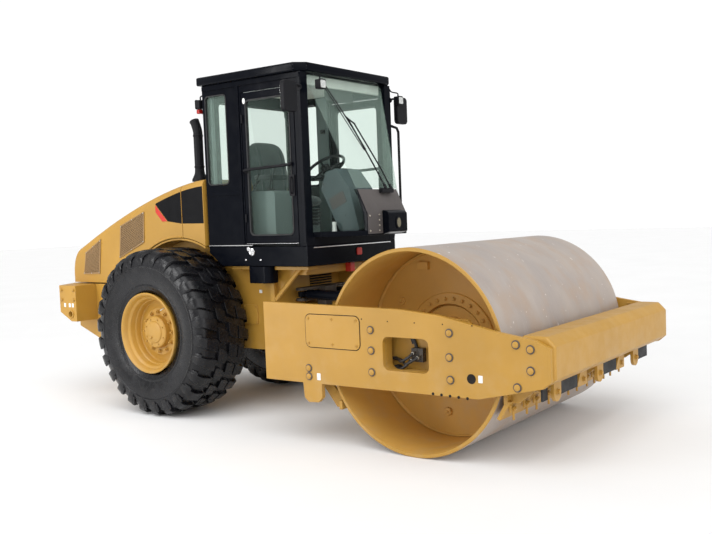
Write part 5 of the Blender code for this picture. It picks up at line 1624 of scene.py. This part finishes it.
def make_column():
    """The steering column's boot and stalks, and the wheel's hub cap and spinner."""
    tilt = math.radians(32)
    centre = Vector((0, CAB_FRONT + 0.30, 2.22))
    along = Vector((0, math.sin(tilt), math.cos(tilt)))
    boot, stalks, cap = bmesh.new(), bmesh.new(), bmesh.new()
    for i in range(5):
        ring = centre - along * (0.20 - 0.018 * i)
        add_lathe(boot, [(0.035, 0), (0.047, 0.006), (0.035, 0.012)], ring, along, 24, True)
    piece("column_boot", boot, SEAL, "root")
    for _, side in SIDES:
        inner = centre - along * 0.10 + Vector((side * 0.03, 0, 0))
        outer = centre - along * 0.085 + Vector((side * 0.15, 0.01, 0.01))
        add_sweep(stalks, [inner, outer], 0.0055, 8)
    piece("column_stalks", stalks, SATIN_BLACK, "root")
    disc = [(0, 0.030), (0.024, 0.029), (0.034, 0.024), (0.040, 0.016), (0.040, 0.0152), (0, 0.0152)]
    add_lathe(cap, disc, centre, along, 28)
    knob = [(0, 0.014), (0.010, 0.014), (0.012, 0.03), (0.020, 0.045), (0.018, 0.065), (0, 0.072)]
    rim = centre + Matrix.Rotation(math.radians(20), 3, along) @ Vector((0.19, 0, 0))
    add_lathe(cap, knob, rim, along, 20)
    piece("wheel_cap", cap, SATIN_BLACK, "steering_wheel")


def make_lining():
    """Roof lining, pillar trims, lower trims in dark vinyl as painted shade, lamp, coat hooks, sun visor and
    a bottle on the floor.
    """
    lining, trims, bits, lamp, lower = (bmesh.new() for _ in range(5))
    add_block(lining, (-0.585, 0.585), (-0.335, 0.705), (2.962, 2.9945))
    add_block(lining, (-0.50, 0.50), (-0.10, 0.60), (2.948, 2.963))
    for _, side in SIDES:
        add_block(trims, span(side, 0.572, 0.5945), (0.300, 0.440), (1.545, 2.955))
        add_block(trims, span(side, 0.560, 0.5945), (0.690, 0.7145), (1.545, 2.955))
        add_block(lower, span(side, 0.575, 0.5945), (0.445, 0.700), (1.545, 2.080))
        add_block(bits, span(side, 0.548, 0.571), (0.330, 0.375), (2.60, 2.64))
    add_block(lower, (-0.555, 0.555), (0.700, 0.7145), (1.545, 1.940))
    add_block(lining, (-0.54, 0.54), (-0.372, -0.340), (2.90, 2.985))
    add_prism(bits, rounded_box((-0.20, 0.20), (2.80, 2.93), 0.02), "Y", (-0.325, -0.318))
    add_prism(lamp, rounded_box((-0.06, 0.06), (0.18, 0.28), 0.02), "Z", (2.938, 2.9475))
    piece("roof_lining", lining, PALE_TRIM, "root", edge=0.006)
    piece("pillar_trims", trims, TRIM, "root", edge=0.006)
    # the lower trims wear the dark seat vinyl instead of the trim: painted shade low in the cab
    piece("lower_trims_painted_shade", lower, PIPING, "root", edge=0.006)
    piece("cab_bits", bits, SEAL, "root", edge=0.004)
    piece("cab_lamp", lamp, LAMP, "root", edge=0.004)
    # a white bottle standing on the floor behind the screen
    bottle = bmesh.new()
    profile = [
        (0, 1.545), (0.026, 1.545), (0.030, 1.552), (0.028, 1.62), (0.020, 1.655), (0.017, 1.70),
        (0.019, 1.702), (0.019, 1.725), (0, 1.727),
    ]
    add_lathe(bottle, profile, (*BOTTLE, 0), (0, 0, 1), 28)
    piece("bottle", bottle, WHITE, "root")


def make_machine():
    make_drum()
    make_drum_mounts()
    make_front_frame()
    for name, side in SIDES:
        make_tyre(name, side)
        make_rim(name, side)
    make_hood()
    make_grilles()
    make_stripes()
    make_tail()
    make_window_liners()
    make_scraper_details()
    make_rear_frame_details()
    make_exhaust()
    make_cab_shell()
    make_nose()
    make_wiper()
    make_lamps()
    make_mirrors()
    make_seat()
    make_controls()
    make_lining()


# ---------------------------------------------------------------- stage


def make_stage():
    bm = bmesh.new()
    bmesh.ops.create_grid(bm, x_segments=1, y_segments=1, size=60)
    floor = linked("floor", to_mesh(bm, "floor"))
    f = Finish("pale_floor", None, (0.86, 0.86, 0.86), 0.85)
    cloud = f.band(f.noise(0.8, 5), 0.3, 0.7)
    f.set("Base Color", f.mix(cloud, (0.87, 0.87, 0.87, 1), (0.89, 0.89, 0.89, 1)))
    floor.data.materials.append(f.material)


def add_sun(name, towards, strength, softness):
    """A broad soft light from a direction, its softness in degrees."""
    data = bpy.data.lights.new(name, "SUN")
    data.energy = strength
    data.angle = math.radians(softness)
    light = linked(name, data)
    light.location = Vector(towards) * 8
    light.rotation_euler = Vector(towards).to_track_quat("Z", "Y").to_euler()


def add_softbox(name, place, aim, size, power):
    data = bpy.data.lights.new(name, "AREA")
    data.shape = "RECTANGLE"
    data.size, data.size_y = size
    data.energy = power
    light = linked(name, data)
    light.location = place
    light.rotation_euler = (Vector(aim) - Vector(place)).to_track_quat("-Z", "Y").to_euler()


def make_lights():
    """A white room: bright to the eye, dimmer to surfaces, so that shadows and black paint stay deep."""
    scene = bpy.context.scene
    scene.view_settings.view_transform = "Standard"
    world = bpy.data.worlds.new("studio")
    world.use_nodes = True
    tree = world.node_tree
    tree.nodes["Background"].inputs[0].default_value = (1, 1, 1, 1)
    path = tree.nodes.new("ShaderNodeLightPath")
    seen = tree.nodes.new("ShaderNodeMapRange")
    seen.inputs[3].default_value = ROOM_LIGHT
    seen.inputs[4].default_value = ROOM_SEEN
    tree.links.new(path.outputs["Is Camera Ray"], seen.inputs[0])
    tree.links.new(seen.outputs[0], tree.nodes["Background"].inputs[1])
    scene.world = world
    add_sun("key", (-0.62, -0.25, 1.0), 1.15, 50)
    add_sun("fill", (-0.25, -1.0, 0.6), 1.15, 70)
    add_sun("low", (-1.0, -0.5, 0.25), 0.3, 60)
    add_softbox("strip", (-6.0, 3.5, 3.2), (0, 0.6, 1.4), (1.2, 5.0), 160)


ROOM_LIGHT, ROOM_SEEN = 0.62, 1.05  # of the white room, on surfaces and to the eye
AZIMUTH, ELEVATION, ROLL = -55.21, 3.93, -2.0  # of the camera, in degrees
EYE = (-6.208, -5.282, 1.777)
LENS = 44.019  # mm, on a sensor 36 mm wide
SHIFT = (-0.0677, 0.0091)


def make_camera():
    data = bpy.data.cameras.new("camera")
    data.sensor_width = 36
    data.lens = LENS
    data.shift_x, data.shift_y = SHIFT
    data.clip_end = 200
    camera = linked("camera", data)
    a, e = math.radians(AZIMUTH), math.radians(ELEVATION)
    back = Vector((math.sin(a) * math.cos(e), -math.cos(a) * math.cos(e), math.sin(e)))
    camera.location = EYE
    camera.rotation_mode = "QUATERNION"
    roll = Quaternion((0, 0, 1), math.radians(ROLL))
    camera.rotation_quaternion = (-back).to_track_quat("-Z", "Y") @ roll
    bpy.context.scene.camera = camera


make_camera()
make_lights()
make_stage()
make_machine()
